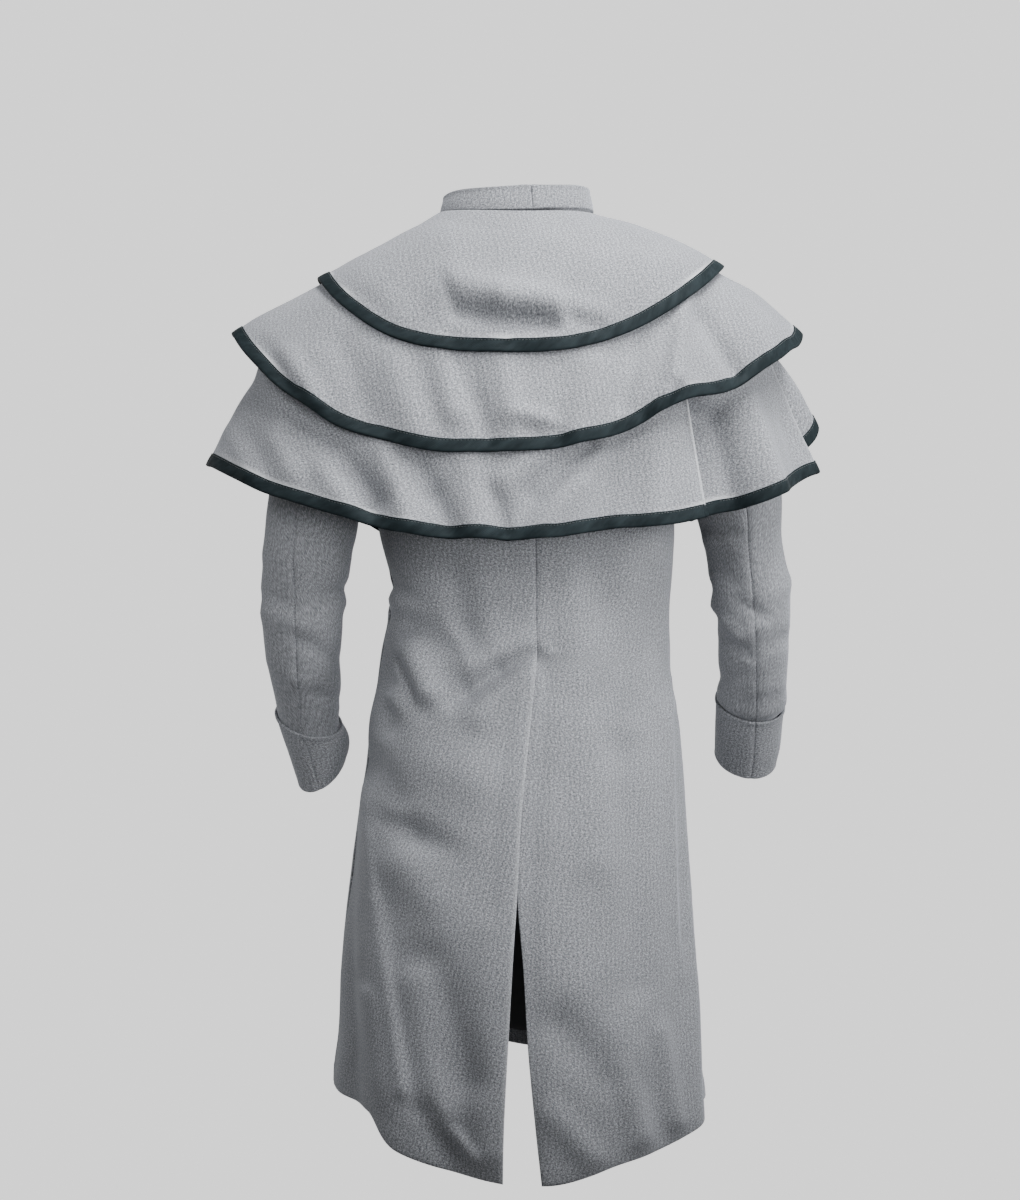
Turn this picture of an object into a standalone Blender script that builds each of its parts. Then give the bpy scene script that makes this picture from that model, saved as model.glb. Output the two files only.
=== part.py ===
"""A caped duster coat in its worn shape, hollow, with every cut piece as its own solid.

Metres, +Z up. The coat's front faces -Y and the wearer's left is +X. The origin is the
middle of the neck, level with the shoulder seams' upper ends, where a wearer holds the
coat up.
"""
import math
from collections import namedtuple

import bpy
from mathutils import Vector

# Cloth and sewing
WOOL = 0.002
BINDING = 0.0009
LINING = 0.001
SEAM_GAP = 0.0003
BINDING_WIDTH = 0.0156
LEAF_DOWN = (1, 5)
LINING_ROWS_UP = 4
LINING_LIFT = 0.25

# Neck ring, where the collar, the three capes and the body are sewn together
NECK_HALF_WIDTH = 0.0925
NECK_BACK = 0.080
NECK_FRONT = 0.080
NECK_SIDE_Z = -0.013
NECK_BACK_Z = -0.021
NECK_FRONT_Z = -0.060
NECK_STEPS = 5
NECK_TUCK = 0.0016
COLLAR_HEIGHT = 0.045
COLLAR_LEAN = 0.16
COLLAR_ROWS = 2
COLLAR_LEFT_SLUMP = 0.20

# Body
BACK_ANGLE = 90.0
FRONT_ANGLE = 270.0
BODY_COLUMNS = 8
ARMPIT_Z = -0.262
SPREAD_Z = -0.600
VENT_START_Z = -0.500
VENT_TOP_Z = -0.523
VENT_CROSSING_Z = -0.811
FIXED_ROWS = (ARMPIT_Z, -0.310, -0.360, -0.410, -0.455, VENT_START_Z, VENT_TOP_Z, -0.545, SPREAD_Z)
SPREAD_ROWS = 6
HEM_PASSES = 4
FULLNESS = 2.2
FOLD_FULL_Z = -1.050
FRONT_OVERLAP = 0.025
UNDER_DEPTH = 0.0036
CHEST_EASE = 0.0030
CHEST_EASE_Z = -0.300
CHEST_EASE_RISE = 0.060
BLEND_REACH = 0.020
VENT_LIFT = 0.0010
VENT_LIFT_REACH = 0.030
VENT_UNDER_REACH = 0.034
SHOULDER_HOLLOW = 0.006
NECK_DIP = 0.0016
ARMHOLE_REACH = 2.0

# Sleeves
ARM_STATIONS = 16
CUFF_EASE = 0.0031
ARMHOLE_CLEAR = 0.0005
ARMPIT_SHIFT = 0.0022
SLEEVE_END = 0.94

# Capes
CAPE_COLUMNS = 48
CAPE_FRONT_GAP = 0.003
CAPE_NECK_RISE = 0.0008
NECK_CLEAR = 0.0012
SIDE_SOFTNESS = 0.10
FRONT_DROP = 1.9
FRONT_LAYER = 0.0024
NECK_LAYER = 0.0036

# Buttons
BUTTON_RADIUS = 0.011
BUTTON_HEIGHT = 0.0036
BUTTON_CLEAR = 0.0006
BUTTON_SIDES = 16
BUTTON_HEIGHTS = (-0.130, -0.240, -0.350, -0.460, -0.570)

# The turned outline of a button, as shares of its radius and of its height.
TurnedPoint = namedtuple("TurnedPoint", "radius height")
BUTTON_PROFILE = (
    TurnedPoint(0.80, 0.0), TurnedPoint(1.0, 0.4), TurnedPoint(0.92, 1.0),
    TurnedPoint(0.70, 1.0), TurnedPoint(0.62, 0.72),
)

# Rings of the body by height: half width, sideways shift of the middle, depth to the back
# and to the front. The rows above the armpit carry the two centre lines up to the neck.
Ring = namedtuple("Ring", "z half_width middle back front")
RINGS = (
    Ring(-1.130, 0.2240, -0.003, 0.212, 0.190),
    Ring(-1.056, 0.2215, -0.003, 0.207, 0.182),
    Ring(-1.014, 0.2187, -0.002, 0.203, 0.178),
    Ring(-0.980, 0.2153, -0.003, 0.198, 0.174),
    Ring(-0.890, 0.2101, -0.001, 0.186, 0.164),
    Ring(-0.783, 0.2005, -0.003, 0.168, 0.152),
    Ring(-0.713, 0.1938, -0.006, 0.156, 0.144),
    Ring(-0.655, 0.1878, -0.009, 0.147, 0.137),
    Ring(-0.607, 0.1843, -0.009, 0.139, 0.130),
    Ring(-0.557, 0.1750, -0.009, 0.129, 0.123),
    Ring(-0.523, 0.1720, -0.011, 0.122, 0.118),
    Ring(-0.470, 0.1662, -0.016, 0.115, 0.114),
    Ring(-0.438, 0.1679, -0.017, 0.115, 0.115),
    Ring(-0.380, 0.1762, -0.012, 0.121, 0.121),
    Ring(-0.320, 0.1785, -0.008, 0.128, 0.127),
    Ring(-0.262, 0.1780, -0.006, 0.133, 0.130),
    Ring(-0.220, 0.1780, -0.005, 0.136, 0.124),
    Ring(-0.180, 0.1780, -0.004, 0.135, 0.115),
    Ring(-0.140, 0.1780, -0.003, 0.129, 0.104),
    Ring(-0.100, 0.1780, -0.002, 0.117, 0.090),
    Ring(-0.060, 0.1780, -0.001, 0.098, 0.076),
    Ring(-0.020, 0.1780, 0.000, 0.081, 0.062),
)

# The hem's height around the body: 0 is the wearer's left side, 90 the back.
HemPoint = namedtuple("HemPoint", "angle z")
HEM = (
    HemPoint(0, -1.038), HemPoint(34, -1.048), HemPoint(49, -1.084), HemPoint(64, -1.102),
    HemPoint(91, -1.118), HemPoint(113, -1.099), HemPoint(131, -1.089), HemPoint(155, -1.066),
    HemPoint(180, -1.055), HemPoint(225, -1.040), HemPoint(262, -1.029), HemPoint(278, -1.017),
    HemPoint(320, -1.024), HemPoint(360, -1.038),
)

# Long soft folds of the skirt: the angle where each starts and ends, its spread, the
# height where it starts and how far it stands out (or in) at the hem.
SkirtFold = namedtuple("SkirtFold", "start_angle hem_angle spread start_z depth")
SKIRT_FOLDS = (
    SkirtFold(10, 47, 9, -0.640, 0.011),
    SkirtFold(26, 68, 9, -0.700, -0.006),
    SkirtFold(2, 24, 8, -0.700, -0.008),
    SkirtFold(176, 148, 8, -0.540, 0.010),
    SkirtFold(184, 163, 7, -0.600, -0.008),
    SkirtFold(160, 128, 10, -0.700, -0.005),
    SkirtFold(212, 206, 10, -0.620, 0.009),
    SkirtFold(232, 232, 9, -0.660, -0.008),
    SkirtFold(328, 334, 10, -0.620, 0.009),
    SkirtFold(308, 306, 9, -0.660, -0.008),
)

# The two edges of the back vent, as sideways places by height.
VentEdge = namedtuple("VentEdge", "z left right")
VENT = (
    VentEdge(-1.130, 0.0380, -0.0070),
    VentEdge(-1.039, 0.0350, 0.0023),
    VentEdge(-0.956, 0.0297, 0.0087),
    VentEdge(-0.880, 0.0245, 0.0120),
    VentEdge(-0.811, 0.0188, 0.0172),
    VentEdge(-0.713, 0.0118, 0.0215),
    VentEdge(-0.646, 0.0041, 0.0245),
    VentEdge(-0.545, -0.0080, 0.0255),
    VentEdge(-0.523, -0.0105, -0.0105),
    VentEdge(-0.455, -0.0108, -0.0108),
    VentEdge(-0.380, -0.0090, -0.0090),
    VentEdge(-0.262, -0.0060, -0.0060),
    VentEdge(-0.020, 0.0000, 0.0000),
)

# Sections of each sleeve from the armhole down: the outer and the inner point, the place
# fore and aft, half the depth, the forward lean in degrees and the angle of the back seam.
Section = namedtuple("Section", "outer_x outer_z inner_x inner_z y depth lean seam")
SLEEVE_LEFT = (
    Section(0.1900, -0.080, 0.1720, -0.262, 0.004, 0.068, 0, 90),
    Section(0.2180, -0.093, 0.1790, -0.267, 0.004, 0.073, 0, 86),
    Section(0.2430, -0.115, 0.1850, -0.277, 0.004, 0.074, 0, 80),
    Section(0.2640, -0.150, 0.1885, -0.293, 0.004, 0.071, 0, 75),
    Section(0.2790, -0.200, 0.1900, -0.315, 0.004, 0.066, 0, 70),
    Section(0.2885, -0.265, 0.1905, -0.344, 0.004, 0.061, 0, 67),
    Section(0.2950, -0.335, 0.1920, -0.376, 0.006, 0.057, 5, 67),
    Section(0.3005, -0.385, 0.1990, -0.412, 0.008, 0.054, 8, 70),
    Section(0.3046, -0.440, 0.2050, -0.452, 0.008, 0.052, 12, 76),
    Section(0.3035, -0.490, 0.2095, -0.492, 0.000, 0.049, 20, 79),
    Section(0.2985, -0.530, 0.2108, -0.530, -0.018, 0.046, 25, 79),
    Section(0.2925, -0.558, 0.2103, -0.558, -0.034, 0.043, 27, 78),
    Section(0.2866, -0.585, 0.2115, -0.590, -0.050, 0.041, 28, 76),
)
SLEEVE_RIGHT = (
    Section(0.1920, -0.070, 0.1840, -0.262, 0.004, 0.068, 0, 90),
    Section(0.2220, -0.082, 0.1915, -0.267, 0.004, 0.073, 0, 91),
    Section(0.2490, -0.104, 0.1990, -0.277, 0.004, 0.074, 0, 92),
    Section(0.2700, -0.138, 0.2050, -0.294, 0.004, 0.071, 0, 93),
    Section(0.2870, -0.188, 0.2105, -0.316, 0.004, 0.066, 0, 93),
    Section(0.3020, -0.258, 0.2160, -0.344, 0.004, 0.061, 0, 93),
    Section(0.3195, -0.335, 0.2215, -0.373, 0.006, 0.056, 5, 93),
    Section(0.3190, -0.385, 0.2290, -0.402, 0.008, 0.053, 8, 95),
    Section(0.3280, -0.435, 0.2345, -0.446, 0.008, 0.051, 12, 97),
    Section(0.3312, -0.490, 0.2450, -0.490, 0.000, 0.048, 20, 98),
    Section(0.3326, -0.535, 0.2505, -0.535, -0.020, 0.045, 26, 96),
    Section(0.3345, -0.562, 0.2530, -0.562, -0.036, 0.042, 29, 93),
    Section(0.3362, -0.588, 0.2545, -0.585, -0.052, 0.041, 31, 91),
)
CUFF_LEFT = (
    Section(0.2875, -0.5985, 0.2090, -0.6130, -0.062, 0.0435, 28, 76),
    Section(0.2800, -0.6210, 0.1995, -0.6280, -0.073, 0.0440, 29, 76),
    Section(0.2700, -0.6500, 0.1985, -0.6400, -0.084, 0.0440, 30, 78),
    Section(0.2584, -0.6854, 0.2025, -0.6524, -0.095, 0.0430, 31, 80),
)
CUFF_RIGHT = (
    Section(0.3368, -0.5900, 0.2545, -0.5860, -0.058, 0.0440, 32, 91),
    Section(0.3372, -0.6130, 0.2565, -0.6100, -0.073, 0.0440, 33, 90),
    Section(0.3376, -0.6380, 0.2590, -0.6350, -0.087, 0.0430, 34, 90),
    Section(0.3350, -0.6620, 0.2614, -0.6580, -0.100, 0.0420, 35, 90),
)

# Rows of each cape from just below the neck seam to the hem: the left and the right side
# point, the centre back and the centre front, and how sharply each side drops to the back.
CapeRow = namedtuple(
    "CapeRow", "left_x left_z right_x right_z back_y back_z front_y front_z left_drop right_drop"
)
LOWER_CAPE = (
    CapeRow(0.130, -0.0345, 0.132, -0.0250, 0.108, -0.052, 0.108, -0.096, 1.90, 1.90),
    CapeRow(0.170, -0.0575, 0.173, -0.0410, 0.130, -0.091, 0.130, -0.137, 1.60, 1.90),
    CapeRow(0.206, -0.0790, 0.210, -0.0590, 0.143, -0.129, 0.144, -0.175, 1.30, 1.85),
    CapeRow(0.241, -0.1020, 0.245, -0.0840, 0.151, -0.168, 0.152, -0.214, 1.10, 1.80),
    CapeRow(0.272, -0.1300, 0.273, -0.1140, 0.157, -0.208, 0.157, -0.254, 1.10, 1.60),
    CapeRow(0.296, -0.1620, 0.293, -0.1480, 0.162, -0.247, 0.161, -0.293, 1.15, 1.45),
    CapeRow(0.3135, -0.197, 0.3060, -0.186, 0.167, -0.287, 0.165, -0.333, 1.25, 1.40),
    CapeRow(0.3400, -0.250, 0.3300, -0.243, 0.175, -0.346, 0.171, -0.392, 1.40, 1.50),
    CapeRow(0.3681, -0.300, 0.3576, -0.3076, 0.182, -0.3933, 0.176, -0.440, 1.55, 1.60),
)
MIDDLE_CAPE = (
    CapeRow(0.1320, -0.0300, 0.134, -0.0195, 0.1115, -0.049, 0.113, -0.092, 1.90, 1.90),
    CapeRow(0.1720, -0.0525, 0.175, -0.0345, 0.1340, -0.088, 0.136, -0.133, 1.60, 1.90),
    CapeRow(0.2080, -0.0730, 0.2115, -0.0530, 0.1465, -0.126, 0.151, -0.172, 1.30, 1.85),
    CapeRow(0.2425, -0.0920, 0.248, -0.0720, 0.1550, -0.165, 0.160, -0.211, 1.10, 1.80),
    CapeRow(0.2775, -0.1110, 0.283, -0.0890, 0.1625, -0.205, 0.167, -0.251, 1.10, 1.60),
    CapeRow(0.3105, -0.1290, 0.315, -0.1145, 0.1710, -0.246, 0.173, -0.291, 1.15, 1.45),
    CapeRow(0.3386, -0.1484, 0.3446, -0.1411, 0.1780, -0.2927, 0.179, -0.328, 1.15, 1.30),
)
UPPER_CAPE = (
    CapeRow(0.1335, -0.0255, 0.136, -0.0140, 0.1150, -0.046, 0.118, -0.088, 1.90, 1.90),
    CapeRow(0.1735, -0.0475, 0.1765, -0.0280, 0.1390, -0.084, 0.142, -0.129, 1.60, 1.90),
    CapeRow(0.2100, -0.0650, 0.2125, -0.0435, 0.1540, -0.123, 0.158, -0.168, 1.30, 1.85),
    CapeRow(0.2374, -0.0805, 0.2471, -0.0633, 0.1650, -0.1795, 0.170, -0.210, 1.05, 1.80),
)

# Flutes of the capes: angle, spread, how far each stands out and lifts at the hem, and
# the part of the cape's length where it starts.
CapeFold = namedtuple("CapeFold", "angle spread out lift start")
LOWER_FOLDS = (
    CapeFold(121, 6, 0.009, 0.003, 0.60), CapeFold(130, 6, -0.010, 0.000, 0.60),
    CapeFold(141, 8, 0.008, 0.000, 0.60), CapeFold(184, 6, -0.006, 0.000, 0.55),
    CapeFold(197, 9, 0.040, 0.070, 0.55), CapeFold(36, 8, 0.006, 0.000, 0.60),
    CapeFold(226, 10, -0.010, 0.000, 0.50), CapeFold(336, 10, 0.012, 0.004, 0.50),
    CapeFold(316, 10, -0.009, 0.000, 0.50), CapeFold(246, 9, 0.007, 0.000, 0.50),
)
MIDDLE_FOLDS = (
    CapeFold(119, 11, 0.010, 0.034, 0.60), CapeFold(142, 14, 0.006, 0.022, 0.60),
    CapeFold(34, 7, 0.006, 0.000, 0.60), CapeFold(205, 12, 0.008, 0.006, 0.60),
    CapeFold(334, 12, 0.008, 0.006, 0.60), CapeFold(62, 8, -0.004, 0.000, 0.60),
)
UPPER_FOLDS = (
    CapeFold(75, 24, -0.003, 0.000, 0.40), CapeFold(140, 12, 0.003, 0.004, 0.40),
)


def clear_scene():
    for item in list(bpy.data.objects):
        bpy.data.objects.remove(item, do_unlink=True)


def principled(name, colour, roughness):
    """One plain finish; cloth and horn buttons have no metal in them."""
    mat = bpy.data.materials.new(name)
    mat.use_nodes = True
    shader = mat.node_tree.nodes["Principled BSDF"]
    shader.inputs["Base Color"].default_value = (*colour, 1.0)
    shader.inputs["Roughness"].default_value = roughness
    shader.inputs["Metallic"].default_value = 0.0
    return mat


def smooth_step(value):
    value = min(1.0, max(0.0, value))
    return value * value * (3.0 - 2.0 * value)


def read_column(rows, key, column, at):
    """Read one column of a table at a place between its rows, on a smooth curve."""
    rows = sorted(rows, key=lambda row: getattr(row, key))
    keys = [getattr(row, key) for row in rows]
    values = [getattr(row, column) for row in rows]
    if at <= keys[0]:
        return values[0]
    if at >= keys[-1]:
        return values[-1]
    i = max(n for n in range(len(keys) - 1) if keys[n] <= at)
    span = keys[i + 1] - keys[i]
    slopes = [(values[n + 1] - values[n]) / (keys[n + 1] - keys[n]) for n in range(len(keys) - 1)]

    def tangent(n):
        if n == 0:
            return slopes[0]
        if n == len(slopes):
            return slopes[-1]
        before, after = slopes[n - 1], slopes[n]
        return 0.0 if before * after <= 0.0 else 2.0 * before * after / (before + after)

    t = (at - keys[i]) / span
    t2, t3 = t * t, t * t * t
    return (
        (2 * t3 - 3 * t2 + 1) * values[i]
        + (t3 - 2 * t2 + t) * span * tangent(i)
        + (3 * t2 - 2 * t3) * values[i + 1]
        + (t3 - t2) * span * tangent(i + 1)
    )


def signed_power(value, power):
    return math.copysign(abs(value) ** power, value)


def fold_depth(angle, z):
    """How far the skirt's folds push the cloth out at one angle and height."""
    depth = 0.0
    for fold in SKIRT_FOLDS:
        run = (fold.start_z - z) / (fold.start_z - FOLD_FULL_Z)
        if run <= 0.0:
            continue
        run = min(run, 1.0)
        centre = fold.start_angle + (fold.hem_angle - fold.start_angle) * run
        away = (angle - centre + 180.0) % 360.0 - 180.0
        depth += fold.depth * smooth_step(run) * math.exp(-((away / fold.spread) ** 2))
    return depth


def body_point(angle, z):
    """A point of the body's surface, with the skirt's folds."""
    ring = {name: read_column(RINGS, "z", name, z) for name in ("half_width", "middle", "back", "front")}
    c, s = math.cos(math.radians(angle)), math.sin(math.radians(angle))
    depth = ring["back"] if s > 0 else ring["front"]
    power = 2.0 / FULLNESS
    x = ring["half_width"] * signed_power(c, power)
    y = depth * signed_power(s, power)
    outward = Vector((c / ring["half_width"], s / depth, 0.0)).normalized()
    push = fold_depth(angle, z)
    return Vector((ring["middle"] + x + outward.x * push, y + outward.y * push, z))


def angle_at(x, z, front=False):
    """The angle where the body's outline is at this sideways place."""
    half_width = read_column(RINGS, "z", "half_width", z)
    c = signed_power((x - read_column(RINGS, "z", "middle", z)) / half_width, FULLNESS / 2.0)
    angle = math.degrees(math.acos(c))
    return 360.0 - angle if front else angle


def hem_z(angle):
    return read_column(HEM, "angle", "z", angle % 360.0)


def row_z(row, angle):
    """The height of one row of the body: level at the top, following the hem below."""
    if row < len(FIXED_ROWS):
        return FIXED_ROWS[row]
    part = (row - len(FIXED_ROWS) + 1) / SPREAD_ROWS
    return SPREAD_Z + (hem_z(angle) - SPREAD_Z) * part


def neck_point(angle, height, out=0.0):
    """A point of the neck ring, raised up the stand collar's leaning wall."""
    c, s = math.cos(math.radians(angle)), math.sin(math.radians(angle))
    depth = NECK_BACK if s > 0 else NECK_FRONT
    end_z = NECK_BACK_Z if s > 0 else NECK_FRONT_Z
    shift = out - COLLAR_LEAN * height
    z = NECK_SIDE_Z + (end_z - NECK_SIDE_Z) * s * s + height
    return Vector(((NECK_HALF_WIDTH + shift) * c, (depth + shift) * s, z))


def section_point(section, angle, ease=0.0):
    """A point of a sleeve section; 0 is its outer side and 90 its back."""
    outer = Vector((section.outer_x, section.y, section.outer_z))
    inner = Vector((section.inner_x, section.y, section.inner_z))
    half = (outer - inner) / 2.0
    reach = half * (1.0 - ease / half.length)
    lean = math.radians(section.lean)
    back = Vector((0.0, math.cos(lean), -math.sin(lean))) * (section.depth - ease)
    turn = math.radians(angle)
    return (outer + inner) / 2.0 + reach * math.cos(turn) + back * math.sin(turn)


def station_angle(station, seam):
    """The angle of a station round a sleeve, with station 4 on the back seam."""
    angle = 360.0 * station / ARM_STATIONS
    return angle + (seam - 90.0) * math.sin(math.radians(angle)) ** 2


def sleeve_ring(sections, row, side):
    section = sections[row]
    ring = []
    for station in range(ARM_STATIONS):
        point = section_point(section, station_angle(station, section.seam))
        ring.append(Vector((point.x * side, point.y, point.z)))
    return ring


def clear_armhole(ring, side):
    """Set a sleeve's first ring just outside the body's armhole, most at the armpit."""
    for station, point in enumerate(ring):
        low = 0.5 - 0.5 * math.cos(2.0 * math.pi * station / ARM_STATIONS)
        point.x += side * (ARMHOLE_CLEAR + ARMPIT_SHIFT * low)


def armhole_point(sections, station, side):
    return sleeve_ring(sections, 0, side)[station]


def body_columns(piece, z):
    """The first and last angle of a body piece at one height."""
    if piece == "back_left":
        return 0.0, angle_at(read_column(VENT, "z", "left", z), z)
    if piece == "back_right":
        return angle_at(read_column(VENT, "z", "right", z), z), 180.0
    middle = read_column(RINGS, "z", "middle", z)
    if piece == "front_right":
        return 180.0, angle_at(middle + FRONT_OVERLAP, z, front=True)
    return angle_at(middle - FRONT_OVERLAP, z, front=True), 360.0


def layer_push(piece, x, z):
    """Where two edges overlap, the under one is set in and the upper one lifts a little."""
    if piece == "front_left":
        return 0.0
    if piece == "front_right":
        start = read_column(RINGS, "z", "middle", z) - FRONT_OVERLAP - BLEND_REACH
        depth = UNDER_DEPTH + CHEST_EASE * smooth_step((z - CHEST_EASE_Z) / CHEST_EASE_RISE)
        return -depth * smooth_step((x - start) / BLEND_REACH)
    vent = smooth_step((VENT_START_Z - z) / (VENT_START_Z - VENT_TOP_Z))
    edge = read_column(VENT, "z", "left", max(z, VENT_CROSSING_Z))
    if piece == "back_left":
        return VENT_LIFT * vent * smooth_step((edge + VENT_LIFT_REACH - x) / BLEND_REACH)
    return -UNDER_DEPTH * vent * smooth_step((x - edge + VENT_UNDER_REACH) / BLEND_REACH)


def body_lower(piece):
    """Rows of a body piece from the armpit down to the hem."""
    grid = []
    for row in range(len(FIXED_ROWS) + SPREAD_ROWS):
        line = []
        for column in range(BODY_COLUMNS + 1):
            part = column / BODY_COLUMNS
            z = row_z(row, BACK_ANGLE if piece.startswith("back") else FRONT_ANGLE)
            for _ in range(HEM_PASSES):
                first, last = body_columns(piece, z)
                angle = first + (last - first) * part
                z = row_z(row, angle)
            line.append(body_point(angle, z))
        grid.append(line)
    return grid


def centre_line(piece, part):
    """The upper centre back or front edge, from the armpit's height to the neck."""
    back = piece.startswith("back")
    end = neck_edge(piece)[0]
    z = ARMPIT_Z + (end.z - ARMPIT_Z) * part
    first, last = body_columns(piece, ARMPIT_Z)
    foot = body_point(last if piece in ("back_left", "front_right") else first, ARMPIT_Z)
    column = "back" if back else "front"
    depth = read_column(RINGS, "z", column, z) - read_column(RINGS, "z", column, ARMPIT_Z)
    top_depth = read_column(RINGS, "z", column, end.z) - read_column(RINGS, "z", column, ARMPIT_Z)
    sign = 1.0 if back else -1.0
    y = foot.y + sign * depth + (end.y - foot.y - sign * top_depth) * part
    return Vector((foot.x + (end.x - foot.x) * part, y, z))


def neck_edge(piece):
    """The neckline from the centre edge to the shoulder seam."""
    overlap = math.degrees(math.asin(FRONT_OVERLAP / NECK_HALF_WIDTH))
    ends = {
        "back_left": (90.0, 0.0), "back_right": (90.0, 180.0),
        "front_left": (270.0 - overlap, 360.0), "front_right": (270.0 + overlap, 180.0),
    }
    first, last = ends[piece]
    points = []
    for step in range(NECK_STEPS + 1):
        angle = first + (last - first) * step / NECK_STEPS
        dip = NECK_DIP * max(0.0, -math.sin(math.radians(angle)))
        points.append(neck_point(angle, -NECK_TUCK - dip))
    return points


def body_upper(piece):
    """Rows of a body piece from the shoulder seam down to the armpit."""
    side = 1.0 if piece.endswith("left") else -1.0
    sections = SLEEVE_LEFT if side > 0 else SLEEVE_RIGHT
    half = ARM_STATIONS // 2
    back = piece.startswith("back")
    neck = neck_edge(piece)
    tip = armhole_point(sections, 0, side)
    top = list(neck)
    steps = BODY_COLUMNS - NECK_STEPS
    for step in range(1, steps + 1):
        point = neck[-1].lerp(tip, step / steps)
        point.z -= SHOULDER_HOLLOW * math.sin(math.pi * step / steps)
        top.append(point)
    bottom = body_lower(piece)[0]
    if piece in ("back_left", "front_right"):
        bottom = bottom[::-1]
    rows = []
    for row in range(half + 1):
        v = row / half
        station = half - row if back else half + row
        hole = armhole_point(sections, station % ARM_STATIONS, side)
        centre = centre_line(piece, v)
        line = []
        for column in range(BODY_COLUMNS + 1):
            u = column / BODY_COLUMNS
            w = u ** ARMHOLE_REACH
            point = bottom[column] * (1 - v) + top[column] * v + centre * (1 - w) + hole * w
            point -= (bottom[0] * (1 - w) + bottom[-1] * w) * (1 - v)
            point -= (top[0] * (1 - w) + top[-1] * w) * v
            line.append(point)
        rows.append(line[::-1] if piece in ("back_left", "front_right") else line)
    return rows[::-1]


def body_grid(piece):
    """All rows of a body piece, with its overlapping edge set in or lifted."""
    grid = body_upper(piece)[:-1] + body_lower(piece)
    normals = grid_normals(grid, False)
    return [
        [point + normal * layer_push(piece, point.x, point.z) for point, normal in zip(line, row)]
        for line, row in zip(grid, normals)
    ]


def sleeve_grid(sections, cuff, side, first, last):
    """Rows of one sleeve piece, from the armhole to just inside the cuff's fold."""
    grid = []
    for row in range(len(sections)):
        ring = sleeve_ring(sections, row, side)
        if row == 0:
            clear_armhole(ring, side)
        grid.append([ring[station % ARM_STATIONS] for station in range(first, last + 1)])
    for section in cuff:
        line = []
        for station in range(first, last + 1):
            point = section_point(section, station_angle(station, section.seam), CUFF_EASE)
            line.append(Vector((point.x * side, point.y, point.z)))
        grid.append(line)
    for column, point in enumerate(grid[-1]):
        grid[-1][column] = grid[-2][column].lerp(point, SLEEVE_END)
    return grid if side > 0 else [line[::-1] for line in grid]


def cuff_grid(sections, side):
    grid = []
    for section in sections:
        line = []
        for station in range(ARM_STATIONS):
            point = section_point(section, station_angle(station, section.seam))
            line.append(Vector((point.x * side, point.y, point.z)))
        grid.append(line if side > 0 else line[::-1])
    return grid


def cape_point(row, angle, roundness):
    c, s = math.cos(math.radians(angle)), math.sin(math.radians(angle))
    left = c > 0
    x = (row.left_x if left else row.right_x) * c
    side_z = row.left_z if left else row.right_z
    if s > 0:
        drop = row.left_drop if left else row.right_drop
        y, end_z = row.back_y * s ** roundness, row.back_z
    else:
        drop = FRONT_DROP
        y, end_z = -row.front_y * abs(s) ** roundness, row.front_z
    soft = SIDE_SOFTNESS
    share = ((s * s + soft * soft) ** 0.5 - soft) / ((1.0 + soft * soft) ** 0.5 - soft)
    return Vector((x, y, side_z + (end_z - side_z) * share ** drop))


def cape_grid(rows, folds, layer, roundness):
    """Rows of one cape from the neck seam to its hem, round from one front edge to the other."""
    grid = []
    for index in range(len(rows) + 1):
        part = index / len(rows)
        line = []
        for column in range(CAPE_COLUMNS + 1):
            angle = FRONT_ANGLE + 360.0 * column / CAPE_COLUMNS
            if index == 0:
                height = CAPE_NECK_RISE + NECK_LAYER * layer
                steep = max(0.0, -math.sin(math.radians(angle))) ** 2
                out = WOOL / 2 + NECK_CLEAR + FRONT_LAYER * layer * steep
                point = neck_point(angle, height, out)
            else:
                point = cape_point(rows[index - 1], angle, roundness)
            outward = Vector((point.x, point.y, 0.0)).normalized()
            for fold in folds:
                away = (angle - fold.angle + 180.0) % 360.0 - 180.0
                share = math.exp(-((away / fold.spread) ** 2))
                share *= smooth_step((part - fold.start) / (1.0 - fold.start))
                point = point + outward * fold.out * share + Vector((0.0, 0.0, fold.lift * share))
            if column == 0:
                point.x = CAPE_FRONT_GAP
            if column == CAPE_COLUMNS:
                point.x = -CAPE_FRONT_GAP
            line.append(point)
        grid.append(line)
    grid.insert(-1, [
        hem + (above - hem).normalized() * BINDING_WIDTH for hem, above in zip(grid[-1], grid[-2])
    ])
    return grid


def grid_normals(grid, closed):
    """Outward directions at a grid's points: rows run down and columns anticlockwise."""
    normals = []
    last_row, count = len(grid) - 1, len(grid[0])
    for r, line in enumerate(grid):
        row = []
        for c in range(count):
            up, down = grid[max(r - 1, 0)][c], grid[min(r + 1, last_row)][c]
            if closed:
                before, after = line[(c - 1) % count], line[(c + 1) % count]
            else:
                before, after = line[max(c - 1, 0)], line[min(c + 1, count - 1)]
            row.append((down - up).cross(after - before).normalized())
        normals.append(row)
    return normals


def join_normals(pieces):
    """Give points that neighbours share one direction, so that their edges meet squarely."""
    shared = {}
    for grid, normals in pieces:
        for line, row in zip(grid, normals):
            for point, normal in zip(line, row):
                key = tuple(round(value, 5) for value in point)
                shared[key] = shared.get(key, Vector()) + normal
    for grid, normals in pieces:
        for line, row in zip(grid, normals):
            for index, point in enumerate(line):
                key = tuple(round(value, 5) for value in point)
                row[index] = shared[key].normalized()


def trim_seams(grid, closed):
    """Draw a grid's edges in by half of a seam's gap."""
    trimmed = [[point.copy() for point in line] for line in grid]
    half = SEAM_GAP / 2
    for line_index, inner_index in ((0, 1), (-1, -2)):
        for column, point in enumerate(grid[line_index]):
            inward = (grid[inner_index][column] - point).normalized()
            trimmed[line_index][column] += inward * half
    if not closed:
        for row, line in enumerate(grid):
            trimmed[row][0] += (line[1] - line[0]).normalized() * half
            trimmed[row][-1] += (line[-2] - line[-1]).normalized() * half
    return trimmed


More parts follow.
